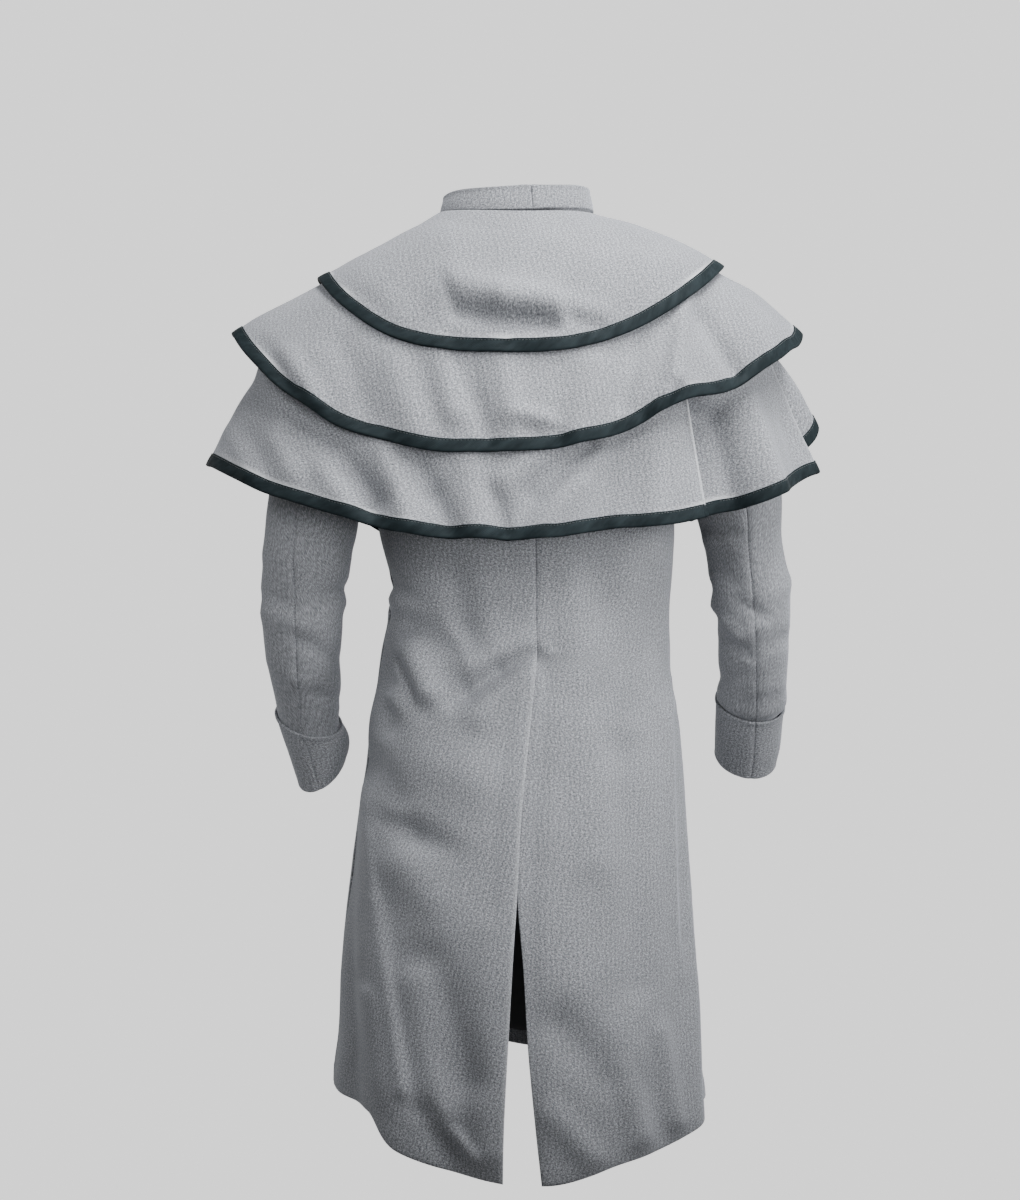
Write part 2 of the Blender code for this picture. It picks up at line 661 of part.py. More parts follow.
def cloth_wall(name, grid, normals, thickness, mat, closed=False, offset=0.0):
    """A closed wall of cloth on a grid of points, half of its thickness to each side."""
    grid = trim_seams(grid, closed)
    rows, columns = len(grid), len(grid[0])
    points = []
    for side in (thickness / 2 + offset, -thickness / 2 + offset):
        for line, row in zip(grid, normals):
            points += [point + normal * side for point, normal in zip(line, row)]
    inner = rows * columns

    def at(r, c):
        return r * columns + c % columns

    faces = []
    spans = columns if closed else columns - 1
    for r in range(rows - 1):
        for c in range(spans):
            a, b, d, e = at(r, c), at(r + 1, c), at(r + 1, c + 1), at(r, c + 1)
            for face in ((a, b, d), (a, d, e)):
                faces.append(face)
                faces.append(tuple(inner + index for index in reversed(face)))
    for c in range(spans):
        a, b = at(0, c), at(0, c + 1)
        faces.append((a, b, inner + b, inner + a))
        a, b = at(rows - 1, c), at(rows - 1, c + 1)
        faces.append((b, a, inner + a, inner + b))
    if not closed:
        for r in range(rows - 1):
            a, b = at(r, 0), at(r + 1, 0)
            faces.append((b, a, inner + a, inner + b))
            a, b = at(r, columns - 1), at(r + 1, columns - 1)
            faces.append((a, b, inner + b, inner + a))
    return place_mesh(name, points, faces, mat)


def place_mesh(name, points, faces, mat):
    mesh = bpy.data.meshes.new(name)
    mesh.from_pydata([tuple(point) for point in points], [], faces)
    mesh.materials.append(mat)
    mesh.shade_smooth()
    mesh.set_sharp_from_angle(angle=math.radians(40))
    item = bpy.data.objects.new(name, mesh)
    bpy.context.scene.collection.objects.link(item)
    return item


def binding_strip(name, grid, normals, mat):
    """Bias binding folded over a hem: a U in section, clear of the cloth between its leaves."""
    near = WOOL / 2 + SEAM_GAP
    far = near + BINDING
    profile = (
        (BINDING_WIDTH, near), (BINDING_WIDTH, far), (-SEAM_GAP - BINDING, far),
        (-SEAM_GAP - BINDING, -far), (BINDING_WIDTH, -far), (BINDING_WIDTH, -near),
        (-SEAM_GAP, -near), (-SEAM_GAP, near),
    )
    points = []
    count = len(grid[-1])
    for column in range(count):
        hem, above = grid[-1][column], grid[-2][column]
        up = (above - hem).normalized()
        for along, out in profile:
            if along > 0.0:
                points.append(above + normals[-2][column] * out)
            else:
                points.append(hem + up * along + normals[-1][column] * out)
    sides = len(profile)
    faces = [tuple(reversed(range(sides)))]
    for column in range(count - 1):
        for i in range(sides):
            a, b = column * sides + i, column * sides + (i + 1) % sides
            if i in LEAF_DOWN:
                faces += [(a, b, b + sides), (a, b + sides, a + sides)]
            else:
                faces += [(a, b, a + sides), (b, b + sides, a + sides)]
    end = (count - 1) * sides
    faces.append(tuple(end + i for i in range(sides)))
    return place_mesh(name, points, faces, mat)


def make_body(wool, lining, button):
    """Two backs and two fronts, sewn at the sides and shoulders, with the fronts' lining."""
    pieces = {}
    for name in ("back_left", "back_right", "front_left", "front_right"):
        grid = body_grid(name)
        pieces[name] = (grid, grid_normals(grid, False))
    sleeves = {}
    for side_name, side, sections, cuff in (
        ("left", 1.0, SLEEVE_LEFT, CUFF_LEFT), ("right", -1.0, SLEEVE_RIGHT, CUFF_RIGHT),
    ):
        quarter = ARM_STATIONS // 4
        for part, first, last in (("top", -quarter, quarter), ("under", quarter, 3 * quarter)):
            grid = sleeve_grid(sections, cuff, side, first, last)
            sleeves["sleeve_" + part + "_" + side_name] = (grid, grid_normals(grid, False))
    join_normals(list(pieces.values()) + list(sleeves.values()))
    for name, (grid, normals) in list(pieces.items()) + list(sleeves.items()):
        cloth_wall(name, grid, normals, WOOL, wool)
    make_front_lining(pieces, lining)
    for number, z in enumerate(BUTTON_HEIGHTS, start=1):
        make_button("button_%d" % number, z, pieces["front_left"], button)


def make_front_lining(pieces, lining):
    """The black lining of the two front skirts, just inside their cloth."""
    first_row = ARM_STATIONS // 2 + len(FIXED_ROWS) - LINING_ROWS_UP
    inset = -(WOOL / 2 + SEAM_GAP + LINING / 2)
    for name, columns in (("front_left", slice(2, None)), ("front_right", slice(None))):
        grid, normals = pieces[name]
        part = [line[columns] for line in grid[first_row:]]
        part[-1] = [low.lerp(high, LINING_LIFT) for low, high in zip(part[-1], part[-2])]
        directions = [line[columns] for line in normals[first_row:]]
        cloth_wall("lining_" + name, part, directions, LINING, lining, offset=inset)


def make_cuffs(wool):
    for name, side, sections in (("cuff_left", 1.0, CUFF_LEFT), ("cuff_right", -1.0, CUFF_RIGHT)):
        grid = cuff_grid(sections, side)
        cloth_wall(name, grid, grid_normals(grid, True), WOOL, wool, closed=True)


def make_collar(wool):
    """A narrow stand collar, open at the centre front and a little lower on the left."""
    grid = []
    for row in range(COLLAR_ROWS + 1):
        line = []
        for column in range(CAPE_COLUMNS + 1):
            angle = FRONT_ANGLE + 360.0 * column / CAPE_COLUMNS
            slump = COLLAR_LEFT_SLUMP * max(0.0, math.cos(math.radians(angle)))
            height = COLLAR_HEIGHT * (1.0 - slump) * (1.0 - row / COLLAR_ROWS)
            point = neck_point(angle, height)
            if column == 0:
                point.x = CAPE_FRONT_GAP
            if column == CAPE_COLUMNS:
                point.x = -CAPE_FRONT_GAP
            line.append(point)
        grid.append(line)
    cloth_wall("collar", grid, grid_normals(grid, False), WOOL, wool)


def make_capes(wool, binding):
    """Three tiers of cape, the longest under the others, each with a bound hem."""
    capes = (
        ("lower", LOWER_CAPE, LOWER_FOLDS, 0.97), ("middle", MIDDLE_CAPE, MIDDLE_FOLDS, 0.92),
        ("upper", UPPER_CAPE, UPPER_FOLDS, 0.84),
    )
    for layer, (name, rows, folds, roundness) in enumerate(capes):
        grid = cape_grid(rows, folds, layer, roundness)
        normals = grid_normals(grid, False)
        cloth_wall("cape_" + name, grid, normals, WOOL, wool)
        binding_strip("binding_" + name, grid, normals, binding)


def surface_at(grid, normals, x, z):
    """The point and direction of a panel at a sideways place and a height."""
    crossings = []
    for line, row in zip(grid, normals):
        for c in range(len(line) - 1):
            if (line[c].x - x) * (line[c + 1].x - x) <= 0.0:
                share = (x - line[c].x) / (line[c + 1].x - line[c].x)
                crossings.append((line[c].lerp(line[c + 1], share), row[c].lerp(row[c + 1], share)))
                break
    for (high, high_normal), (low, low_normal) in zip(crossings, crossings[1:]):
        if low.z <= z <= high.z:
            share = (z - high.z) / (low.z - high.z)
            return high.lerp(low, share), high_normal.lerp(low_normal, share).normalized()
    raise ValueError("the panel has no point at that height")


def make_button(name, z, panel, mat):
    """A plain round button with a turned rim, sewn on the left front."""
    grid, normals = panel
    base, outward = surface_at(grid, normals, read_column(RINGS, "z", "middle", z), z)
    points = []
    faces = []
    for turned in BUTTON_PROFILE:
        radius = turned.radius * BUTTON_RADIUS
        for side in range(BUTTON_SIDES):
            turn = 2.0 * math.pi * side / BUTTON_SIDES
            x, y = math.cos(turn) * radius, math.sin(turn) * radius
            points.append(Vector((x, y, turned.height * BUTTON_HEIGHT)))
    rings = len(BUTTON_PROFILE)
    for ring in range(rings - 1):
        for side in range(BUTTON_SIDES):
            a = ring * BUTTON_SIDES + side
            b = ring * BUTTON_SIDES + (side + 1) % BUTTON_SIDES
            faces.append((a, b, b + BUTTON_SIDES, a + BUTTON_SIDES))
    faces.append(tuple(reversed(range(BUTTON_SIDES))))
    faces.append(tuple((rings - 1) * BUTTON_SIDES + side for side in range(BUTTON_SIDES)))
    item = place_mesh(name, points, faces, mat)
    item.location = base + outward * (WOOL / 2 + BUTTON_CLEAR)
    item.rotation_euler = outward.to_track_quat("Z", "Y").to_euler()


def build():
    clear_scene()
    wool = principled("wool", (0.33, 0.34, 0.36), 0.9)
    binding = principled("binding", (0.023, 0.036, 0.043), 0.7)
    lining = principled("lining", (0.012, 0.012, 0.014), 0.5)
    button = principled("button", (0.04, 0.045, 0.05), 0.4)
    make_body(wool, lining, button)
    make_cuffs(wool)
    make_collar(wool)
    make_capes(wool, binding)


build()
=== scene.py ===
"""A caped duster coat of heathered grey wool, in its worn shape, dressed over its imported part."""

import math
from collections import namedtuple

import bpy
import numpy as np
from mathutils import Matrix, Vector, noise
from mathutils.bvhtree import BVHTree


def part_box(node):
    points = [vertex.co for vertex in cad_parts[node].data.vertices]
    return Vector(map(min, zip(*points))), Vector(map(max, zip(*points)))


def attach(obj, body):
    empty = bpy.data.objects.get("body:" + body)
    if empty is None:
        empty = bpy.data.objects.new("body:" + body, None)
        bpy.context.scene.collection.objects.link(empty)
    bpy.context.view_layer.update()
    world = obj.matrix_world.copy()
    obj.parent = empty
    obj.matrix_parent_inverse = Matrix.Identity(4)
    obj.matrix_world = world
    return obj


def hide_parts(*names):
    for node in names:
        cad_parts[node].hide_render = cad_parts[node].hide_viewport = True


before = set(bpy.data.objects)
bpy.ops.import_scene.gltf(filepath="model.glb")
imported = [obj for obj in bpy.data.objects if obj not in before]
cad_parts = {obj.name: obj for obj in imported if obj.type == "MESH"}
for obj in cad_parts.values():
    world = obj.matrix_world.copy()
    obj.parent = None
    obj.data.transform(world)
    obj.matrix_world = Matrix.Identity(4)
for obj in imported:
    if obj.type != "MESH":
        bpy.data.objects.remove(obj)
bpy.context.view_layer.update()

# Body: two backs and two fronts cut from a heathered grey wool twill and sewn at the sides,
# shoulders and centre back. The back seam stops at the seat, where the left back laps over
# the right one in an open vent. The left front laps over the right front.
WOOL = 0.002
BODY_STEP = 0.0055
SIDE_COLUMNS = 64
ARMPIT_Z = -0.262
SPREAD_Z = -0.600
VENT_START_Z = -0.500
VENT_TOP_Z = -0.523
VENT_CROSSING_Z = -0.811
FULLNESS = 2.2
FOLD_FULL_Z = -1.050
FRONT_OVERLAP = 0.025
UNDER_DEPTH = 0.0036
CHEST_EASE = 0.0030
CHEST_EASE_Z = -0.300
CHEST_EASE_RISE = 0.060
BLEND_REACH = 0.020
VENT_LIFT = 0.0026
VENT_LIFT_REACH = 0.030
VENT_UNDER_REACH = 0.034
# Strength and width of the painted highlight along the left back's vent edge.
VENT_EDGE_HIGHLIGHT = 0.35
VENT_EDGE_HIGHLIGHT_WIDTH = 0.0016
SEAM_ALLOWANCE = 0.016
HEM_TURN = 0.022
HEM_EXTRA = 0.0012
HEM_PASSES = 5
YOKE_ROWS = 28
UNEVEN_REACH = 0.05
SHOULDER_HOLLOW = 0.006
NECK_HALF_WIDTH = 0.0925
NECK_DEPTH = 0.080
NECK_SIDE_Z = -0.013
NECK_BACK_Z = -0.021
NECK_FRONT_Z = -0.060
NECK_TUCK = 0.0016
NECK_DIP = 0.0016
NECK_SHARE = 5 / 8
COLLAR_LEAN = 0.16


def rows_of(kind, *rows):
    """A table's rows from plain numbers, in the order of the names of their kind."""
    return tuple(kind(*row) for row in rows)


Ring = namedtuple("Ring", "z half_width middle back front")
BODY_RINGS = rows_of(
    Ring,
    (-1.130, 0.2240, -0.003, 0.212, 0.190), (-1.056, 0.2215, -0.003, 0.207, 0.182),
    (-1.014, 0.2187, -0.002, 0.203, 0.178), (-0.980, 0.2153, -0.003, 0.198, 0.174),
    (-0.890, 0.2101, -0.001, 0.186, 0.164), (-0.783, 0.2005, -0.003, 0.168, 0.152),
    (-0.713, 0.1938, -0.006, 0.156, 0.144), (-0.655, 0.1878, -0.009, 0.147, 0.137),
    (-0.607, 0.1843, -0.009, 0.139, 0.130), (-0.557, 0.1750, -0.009, 0.129, 0.123),
    (-0.523, 0.1720, -0.011, 0.122, 0.118), (-0.470, 0.1662, -0.016, 0.115, 0.114),
    (-0.438, 0.1679, -0.017, 0.115, 0.115), (-0.380, 0.1762, -0.012, 0.121, 0.121),
    (-0.320, 0.1785, -0.008, 0.128, 0.127), (-0.262, 0.1780, -0.006, 0.133, 0.130),
    (-0.220, 0.1780, -0.005, 0.136, 0.124), (-0.180, 0.1780, -0.004, 0.135, 0.115),
    (-0.140, 0.1780, -0.003, 0.129, 0.104), (-0.100, 0.1780, -0.002, 0.117, 0.090),
    (-0.060, 0.1780, -0.001, 0.098, 0.076), (-0.020, 0.1780, 0.000, 0.081, 0.062),
)
HemPoint = namedtuple("HemPoint", "angle z")
HEM = rows_of(
    HemPoint,
    (0, -1.038), (34, -1.048), (49, -1.084), (64, -1.102), (91, -1.118), (113, -1.099),
    (131, -1.089), (155, -1.066), (180, -1.055), (225, -1.040), (262, -1.029), (278, -1.017),
    (320, -1.024), (360, -1.038),
)
SkirtFold = namedtuple("SkirtFold", "start_angle hem_angle spread start_z depth")
SKIRT_FOLDS = rows_of(
    SkirtFold,
    (10, 47, 9, -0.640, 0.011), (26, 68, 9, -0.700, -0.006), (2, 24, 8, -0.700, -0.008),
    (176, 148, 8, -0.540, 0.010), (184, 163, 7, -0.600, -0.008), (160, 128, 10, -0.700, -0.005),
    (212, 206, 10, -0.620, 0.009), (232, 232, 9, -0.660, -0.008), (328, 334, 10, -0.620, 0.009),
    (308, 306, 9, -0.660, -0.008),
)
VentEdge = namedtuple("VentEdge", "z left right")
VENT = rows_of(
    VentEdge,
    (-1.130, 0.0380, -0.0070), (-1.039, 0.0350, 0.0023), (-0.956, 0.0297, 0.0087),
    (-0.880, 0.0245, 0.0120), (-0.811, 0.0188, 0.0172), (-0.713, 0.0118, 0.0215),
    (-0.646, 0.0041, 0.0245), (-0.545, -0.0080, 0.0255), (-0.523, -0.0105, -0.0105),
    (-0.455, -0.0108, -0.0108), (-0.380, -0.0090, -0.0090), (-0.262, -0.0060, -0.0060),
    (-0.020, 0.0000, 0.0000),
)
ArmholeRing = namedtuple("ArmholeRing", "outer_x outer_z inner_x inner_z y depth")
ARMHOLES = {
    "left": ArmholeRing(0.1900, -0.080, 0.1720, -0.262, 0.004, 0.068),
    "right": ArmholeRing(-0.1920, -0.070, -0.1840, -0.262, 0.004, 0.068),
}

# Pressed and dragged folds: a line on the cloth by its sideways place and height, how wide
# the fold is, and how far the cloth stands out (or in) at the line's two ends.
Fold = namedtuple("Fold", "x0 z0 x1 z1 width start end")


def mm_folds(*rows):
    """Folds from rows of millimetres."""
    return tuple(Fold(*(value / 1000 for value in row)) for row in rows)


BACK_FOLDS = mm_folds(
    (156, -440, 128, -464, 9, -8, -4.4), (148, -462, 124, -478, 10.8, 6.8, 4),
    (84, -420, 72, -490, 18, -4, -11.2), (72, -490, 56, -520, 14.4, -10, -3.2),
    (132, -488, 98, -512, 18, -10.4, -8), (132, -520, 112, -570, 14.4, 8.8, 13.2),
    (112, -570, 104, -582, 14.4, 12, 6), (146, -534, 126, -574, 6.3, -6.8, -4.8),
    (150, -578, 138, -594, 10.8, 7.2, 4), (160, -520, 156, -610, 10.8, -3.2, -5.2),
    (-4, -525, 33, -543, 8.1, -6, -12.8), (33, -543, 72, -570, 10.8, -12.8, -14),
    (72, -570, 112, -588, 14.4, -13.2, -4.8), (4, -508, 67, -536, 12.6, 4, 8),
    (4, -552, 56, -594, 18, 4.8, 7.2), (168, -718, 134, -730, 14.4, -4, -12),
    (134, -730, 92, -748, 16.2, -12, -3.6), (146, -768, 118, -800, 25.2, 8, 4.8),
    (170, -656, 150, -690, 16.2, -6, -4), (130, -640, 60, -670, 30.6, 6, 6),
    (116, -871, 73, -1001, 23.4, -6, -8.8), (130, -900, 104, -1040, 19.8, 6, 7.2),
    (99, -1054, 66, -1086, 9.9, 6.8, 8.8), (122, -1040, 92, -1084, 12.6, -4.8, -6.8),
    (46, -840, 54, -1080, 19.8, 3.6, 7.2), (182, -685, 174, -809, 8, 3, 4.4),
    (174, -809, 147, -1016, 9, 4.4, 4.4), (196, -740, 190, -900, 11, -3, -5),
    (-175, -556, -172, -755, 5.5, 3.4, 4), (-172, -755, -180, -905, 5.5, 4, 2),
    (-184, -600, -187, -860, 8, -4, -4), (-22, -522, -34, -527, 7.2, 7.6, 3.2),
    (-14, -532, -18, -552, 4.5, -6, -2), (-85, -440, -130, -580, 23.4, -4.4, -5.2),
    (-50, -430, -64, -560, 19.8, 4, 4.4), (-70, -601, -79, -760, 27, 4.4, 6),
    (-112, -640, -124, -900, 21.6, -4.8, -7.2), (-28, -945, -72, -1000, 24, -6.4, -4),
    (-50, -900, -112, -985, 26, 3.4, 3.4), (-102, -990, -120, -1070, 16.2, 5.2, 8.8),
    (-150, -960, -166, -1060, 12.6, 6, 8), (-20, -1040, -60, -1085, 16.2, 4.8, 6.8),
    (-148, -430, -152, -520, 12.6, -3.6, -4.4),
)
FRONT_FOLDS = mm_folds(
    (150, -452, 108, -482, 10.8, -6.8, -3.4), (140, -476, 96, -500, 12.6, 6.1, 2.7),
    (-160, -456, -116, -480, 10.8, -6.5, -3.1), (-150, -482, -112, -506, 12.6, 5.8, 2.4),
    (60, -500, 110, -560, 14.4, -5.8, -8.5), (50, -535, 96, -600, 18, 5.1, 6.8),
    (-84, -500, -120, -570, 16.2, -5.1, -7.8), (-64, -540, -104, -610, 18, 4.8, 6.1),
    (88, -640, 100, -860, 23.4, -4.4, -7.8), (56, -700, 62, -980, 21.6, 4.1, 6.8),
    (-76, -660, -90, -900, 23.4, -4.8, -7.5), (-118, -720, -138, -980, 19.8, 4.4, 6.8),
    (-46, -760, -50, -1000, 19.8, 3.7, 5.8), (140, -800, 158, -1000, 16.2, 4.8, 6.5),
)


def hermite(share, span, low, low_slope, high, high_slope):
    """A smooth curve between two values that leaves and meets them at the given slopes."""
    share2, share3 = share**2, share**3
    return (
        (2 * share3 - 3 * share2 + 1) * low
        + (share3 - 2 * share2 + share) * span * low_slope
        + (3 * share2 - 2 * share3) * high
        + (share3 - share2) * span * high_slope
    )


def read_table(rows, column, at):
    """Reads a column between a table's rows, keyed by their first value, without overshoot."""
    rows = sorted(rows)
    keys = np.array([row[0] for row in rows], float)
    values = np.array([getattr(row, column) for row in rows], float)
    slopes = np.diff(values) / np.diff(keys)
    before, after = slopes[:-1], slopes[1:]
    total = np.where(before + after == 0.0, 1.0, before + after)
    inner = np.where(before * after > 0.0, 2.0 * before * after / total, 0.0)
    tangents = np.concatenate([slopes[:1], inner, slopes[-1:]])
    at = np.clip(at, keys[0], keys[-1])
    i = np.clip(np.searchsorted(keys, at, side="right") - 1, 0, len(keys) - 2)
    span = keys[i + 1] - keys[i]
    return hermite((at - keys[i]) / span, span, values[i], tangents[i], values[i + 1], tangents[i + 1])


def smooth_step(value):
    """0 up to nought and 1 from one, with a soft rise between."""
    value = np.clip(value, 0.0, 1.0)
    return value * value * (3.0 - 2.0 * value)


def signed_power(value, power):
    """A power that keeps the sign, as the rounded outline of the body needs it."""
    return np.sign(value) * np.abs(value) ** power


def angle_away(angle, centre):
    """How many degrees an angle is from a centre, the shorter way round."""
    return (angle - centre + 180.0) % 360.0 - 180.0


def cos_sin(angle):
    """The cosine and sine of an angle in degrees."""
    return np.cos(np.radians(angle)), np.sin(np.radians(angle))


def fading(distance, width):
    """A soft hump: 1 where the distance is nought, and almost nothing two widths away."""
    return np.exp(-((distance / width) ** 2))


def faces_back(normals, sharpness=1.4):
    """1 where cloth faces the back, 0 where it faces the front, and a soft change between."""
    return smooth_step(0.5 + sharpness * normals[..., 1])


def skirt_fold_depth(angle, z):
    """How far the long folds that hang to the hem push the skirt out or in."""
    depth = np.zeros_like(z)
    for fold in SKIRT_FOLDS:
        run = np.clip((fold.start_z - z) / (fold.start_z - FOLD_FULL_Z), 0.0, 1.0)
        centre = fold.start_angle + (fold.hem_angle - fold.start_angle) * run
        depth += fold.depth * smooth_step(run) * fading(angle_away(angle, centre), fold.spread)
    return depth


def body_surface(angle, z):
    """Points of the coat's body at angles round it: 0 is the wearer's left, 90 the back."""
    angle, z = np.broadcast_arrays(np.asarray(angle, float), np.asarray(z, float))
    half_width = read_table(BODY_RINGS, "half_width", z)
    c, s = cos_sin(angle)
    back, front = read_table(BODY_RINGS, "back", z), read_table(BODY_RINGS, "front", z)
    depth = np.where(s > 0.0, back, front)
    out_x, out_y = c / half_width, s / depth
    push = skirt_fold_depth(angle, z) / np.hypot(out_x, out_y)
    x = read_table(BODY_RINGS, "middle", z) + half_width * signed_power(c, 2.0 / FULLNESS)
    y = depth * signed_power(s, 2.0 / FULLNESS)
    return np.stack([x + out_x * push, y + out_y * push, z], axis=-1)


def edge_angle(x, z, front=False):
    """The angle where the body's outline is at a sideways place."""
    share = (x - read_table(BODY_RINGS, "middle", z)) / read_table(BODY_RINGS, "half_width", z)
    angle = np.degrees(np.arccos(signed_power(share, FULLNESS / 2.0)))
    return 360.0 - angle if front else angle


def panel_angles(panel, z):
    """The angles of a body panel's first and last edge at each height."""
    middle = read_table(BODY_RINGS, "middle", z)
    if panel == "back_left":
        return np.zeros_like(z), edge_angle(read_table(VENT, "left", z), z)
    if panel == "back_right":
        return edge_angle(read_table(VENT, "right", z), z), np.full_like(z, 180.0)
    if panel == "front_right":
        return np.full_like(z, 180.0), edge_angle(middle + FRONT_OVERLAP, z, front=True)
    return edge_angle(middle - FRONT_OVERLAP, z, front=True), np.full_like(z, 360.0)


def skirt_rows(panel):
    """Rows of a body panel from the armpit down to the hem, which they come to follow."""
    level = np.linspace(ARMPIT_Z, SPREAD_Z, 1 + round((ARMPIT_Z - SPREAD_Z) / BODY_STEP))
    spread = np.linspace(0.0, 1.0, 1 + round((SPREAD_Z - HEM[4].z) / BODY_STEP))[1:]
    start = np.concatenate([level, np.full_like(spread, SPREAD_Z)])[:, None]
    reach = np.concatenate([np.zeros_like(level), spread])[:, None]
    part = np.linspace(0.0, 1.0, SIDE_COLUMNS + 1)[None, :]
    z = start + np.zeros_like(part)
    for _ in range(HEM_PASSES):
        first, last = panel_angles(panel, z)
        angle = first + (last - first) * part
        z = start + (read_table(HEM, "z", angle % 360.0) - SPREAD_Z) * reach
    return body_surface(angle, z)


def neck_ring(angle, height, out=0.0):
    """Points of the neck seam's ring, raised up the stand collar's leaning wall."""
    c, s = cos_sin(angle)
    end_z = np.where(s > 0.0, NECK_BACK_Z, NECK_FRONT_Z)
    shift = out - COLLAR_LEAN * height
    z = NECK_SIDE_Z + (end_z - NECK_SIDE_Z) * s * s + height
    return np.stack([(NECK_HALF_WIDTH + shift) * c, (NECK_DEPTH + shift) * s, z], axis=-1)


def neckline(panel, part):
    """The panel's neck edge, from its centre edge to the shoulder seam."""
    overlap = math.degrees(math.asin(FRONT_OVERLAP / NECK_HALF_WIDTH))
    first, last = {
        "back_left": (90.0, 0.0), "back_right": (90.0, 180.0),
        "front_left": (270.0 - overlap, 360.0), "front_right": (270.0 + overlap, 180.0),
    }[panel]
    angle = first + (last - first) * part
    dip = NECK_DIP * np.maximum(0.0, -np.sin(np.radians(angle)))
    return neck_ring(angle, -NECK_TUCK - dip)


def armhole(side, angle):
    """Points of the armhole: 0 is the shoulder, 90 the back and 180 the armpit."""
    ring = ARMHOLES[side]
    c, s = cos_sin(angle)
    x = (ring.outer_x + ring.inner_x) / 2 + (ring.outer_x - ring.inner_x) / 2 * c
    z = (ring.outer_z + ring.inner_z) / 2 + (ring.outer_z - ring.inner_z) / 2 * c
    return np.stack([x, ring.y + ring.depth * s, z], axis=-1)


def yoke_rows(panel, armpit_row):
    """Rows from the shoulder seam to the armpit, spanned between a panel's four edges."""
    side = panel.split("_")[1]
    back = panel.startswith("back")
    bottom = armpit_row[::-1] if panel in ("back_left", "front_right") else armpit_row
    u = np.linspace(0.0, 1.0, SIDE_COLUMNS + 1)
    tip = armhole(side, 0.0)
    point = neckline(panel, 1.0)
    run = np.clip((u - NECK_SHARE) / (1.0 - NECK_SHARE), 0.0, 1.0)[:, None]
    shoulder = point + (tip - point) * run
    shoulder[:, 2] -= SHOULDER_HOLLOW * np.sin(np.pi * run[:, 0])
    on_neck = (u <= NECK_SHARE)[:, None]
    top = np.where(on_neck, neckline(panel, np.clip(u / NECK_SHARE, 0.0, 1.0)), shoulder)
    v = np.linspace(0.0, 1.0, YOKE_ROWS)
    z = bottom[0, 2] + (top[0, 2] - bottom[0, 2]) * v
    column, sign = ("back", 1.0) if back else ("front", -1.0)
    rise = sign * (read_table(BODY_RINGS, column, z) - read_table(BODY_RINGS, column, ARMPIT_Z))
    centre_x = bottom[0, 0] + (top[0, 0] - bottom[0, 0]) * v
    centre_y = bottom[0, 1] + rise + (top[0, 1] - bottom[0, 1] - rise[-1]) * v
    centre = np.stack([centre_x, centre_y, z], axis=-1)[:, None, :]
    hole = armhole(side, 180.0 * (1.0 - v) if back else 180.0 * (1.0 + v))[:, None, :]
    w, v = (u**2)[None, :, None], v[:, None, None]
    grid = bottom * (1 - v) + top * v + centre * (1 - w) + hole * w
    grid = grid - (bottom[0] * (1 - w) + bottom[-1] * w) * (1 - v)
    grid = grid - (top[0] * (1 - w) + top[-1] * w) * v
    if panel in ("back_left", "front_right"):
        grid = grid[:, ::-1]
    return grid[::-1]


def outward(grid):
    """Directions out of a cloth grid whose rows run down and columns anticlockwise."""
    down, across = np.gradient(grid, axis=0), np.gradient(grid, axis=1)
    normal = np.cross(down, across)
    return normal / np.maximum(np.linalg.norm(normal, axis=-1, keepdims=True), 1e-12)


def lap_depth(panel, points):
    """Where two edges overlap, the under one is set in and the upper one lifts a little."""
    x, z = points[..., 0], points[..., 2]
    if panel == "front_left":
        return np.zeros_like(x)
    if panel == "front_right":
        start = read_table(BODY_RINGS, "middle", z) - FRONT_OVERLAP - BLEND_REACH
        depth = UNDER_DEPTH + CHEST_EASE * smooth_step((z - CHEST_EASE_Z) / CHEST_EASE_RISE)
        return -depth * smooth_step((x - start) / BLEND_REACH)
    vent = smooth_step((VENT_START_Z - z) / (VENT_START_Z - VENT_TOP_Z))
    edge = read_table(VENT, "left", np.maximum(z, VENT_CROSSING_Z))
    if panel == "back_left":
        return VENT_LIFT * vent * smooth_step((edge + VENT_LIFT_REACH - x) / BLEND_REACH)
    return -UNDER_DEPTH * vent * smooth_step((x - edge + VENT_UNDER_REACH) / BLEND_REACH)


def fold_depth(folds, points, facing):
    """How far the listed folds push the cloth, where it faces the side they are on."""
    x, z = points[..., 0], points[..., 2]
    ridges, troughs = np.zeros_like(x), np.zeros_like(x)
    for fold in folds:
        run_x, run_z = fold.x1 - fold.x0, fold.z1 - fold.z0
        along = ((x - fold.x0) * run_x + (z - fold.z0) * run_z) / (run_x**2 + run_z**2)
        along = np.clip(along, 0.0, 1.0)
        away = np.hypot(x - fold.x0 - run_x * along, z - fold.z0 - run_z * along)
        size = (fold.start + (fold.end - fold.start) * along) * fading(away, fold.width)
        ridges += np.maximum(size, 0.0) ** 4
        troughs += np.minimum(size, 0.0) ** 4
    return (ridges**0.25 - troughs**0.25) * facing


def unevenness(points, seed, soft=0.0012, fine=0.00035):
    """The gentle unevenness of hand-pressed wool, as a depth at each point."""
    flat = points.reshape(-1, 3)
    offset = Vector((seed * 3.7, seed * 1.9, seed * 5.3))
    depth = [
        soft * noise.noise(Vector(p) * 11.0 + offset) + fine * noise.noise(Vector(p) * 37.0 + offset)
        for p in flat
    ]
    return np.array(depth).reshape(points.shape[:-1])


def steps_between(points, axis=0):
    """The lengths of the steps from each point to the next, down (0) or across (1) a grid."""
    return np.linalg.norm(np.diff(points, axis=axis), axis=-1)


def running_total(steps, axis=0):
    """Adds steps up, from nought at the first point."""
    start = np.zeros_like(np.take(steps, [0], axis=axis))
    return np.concatenate([start, np.cumsum(steps, axis=axis)], axis=axis)


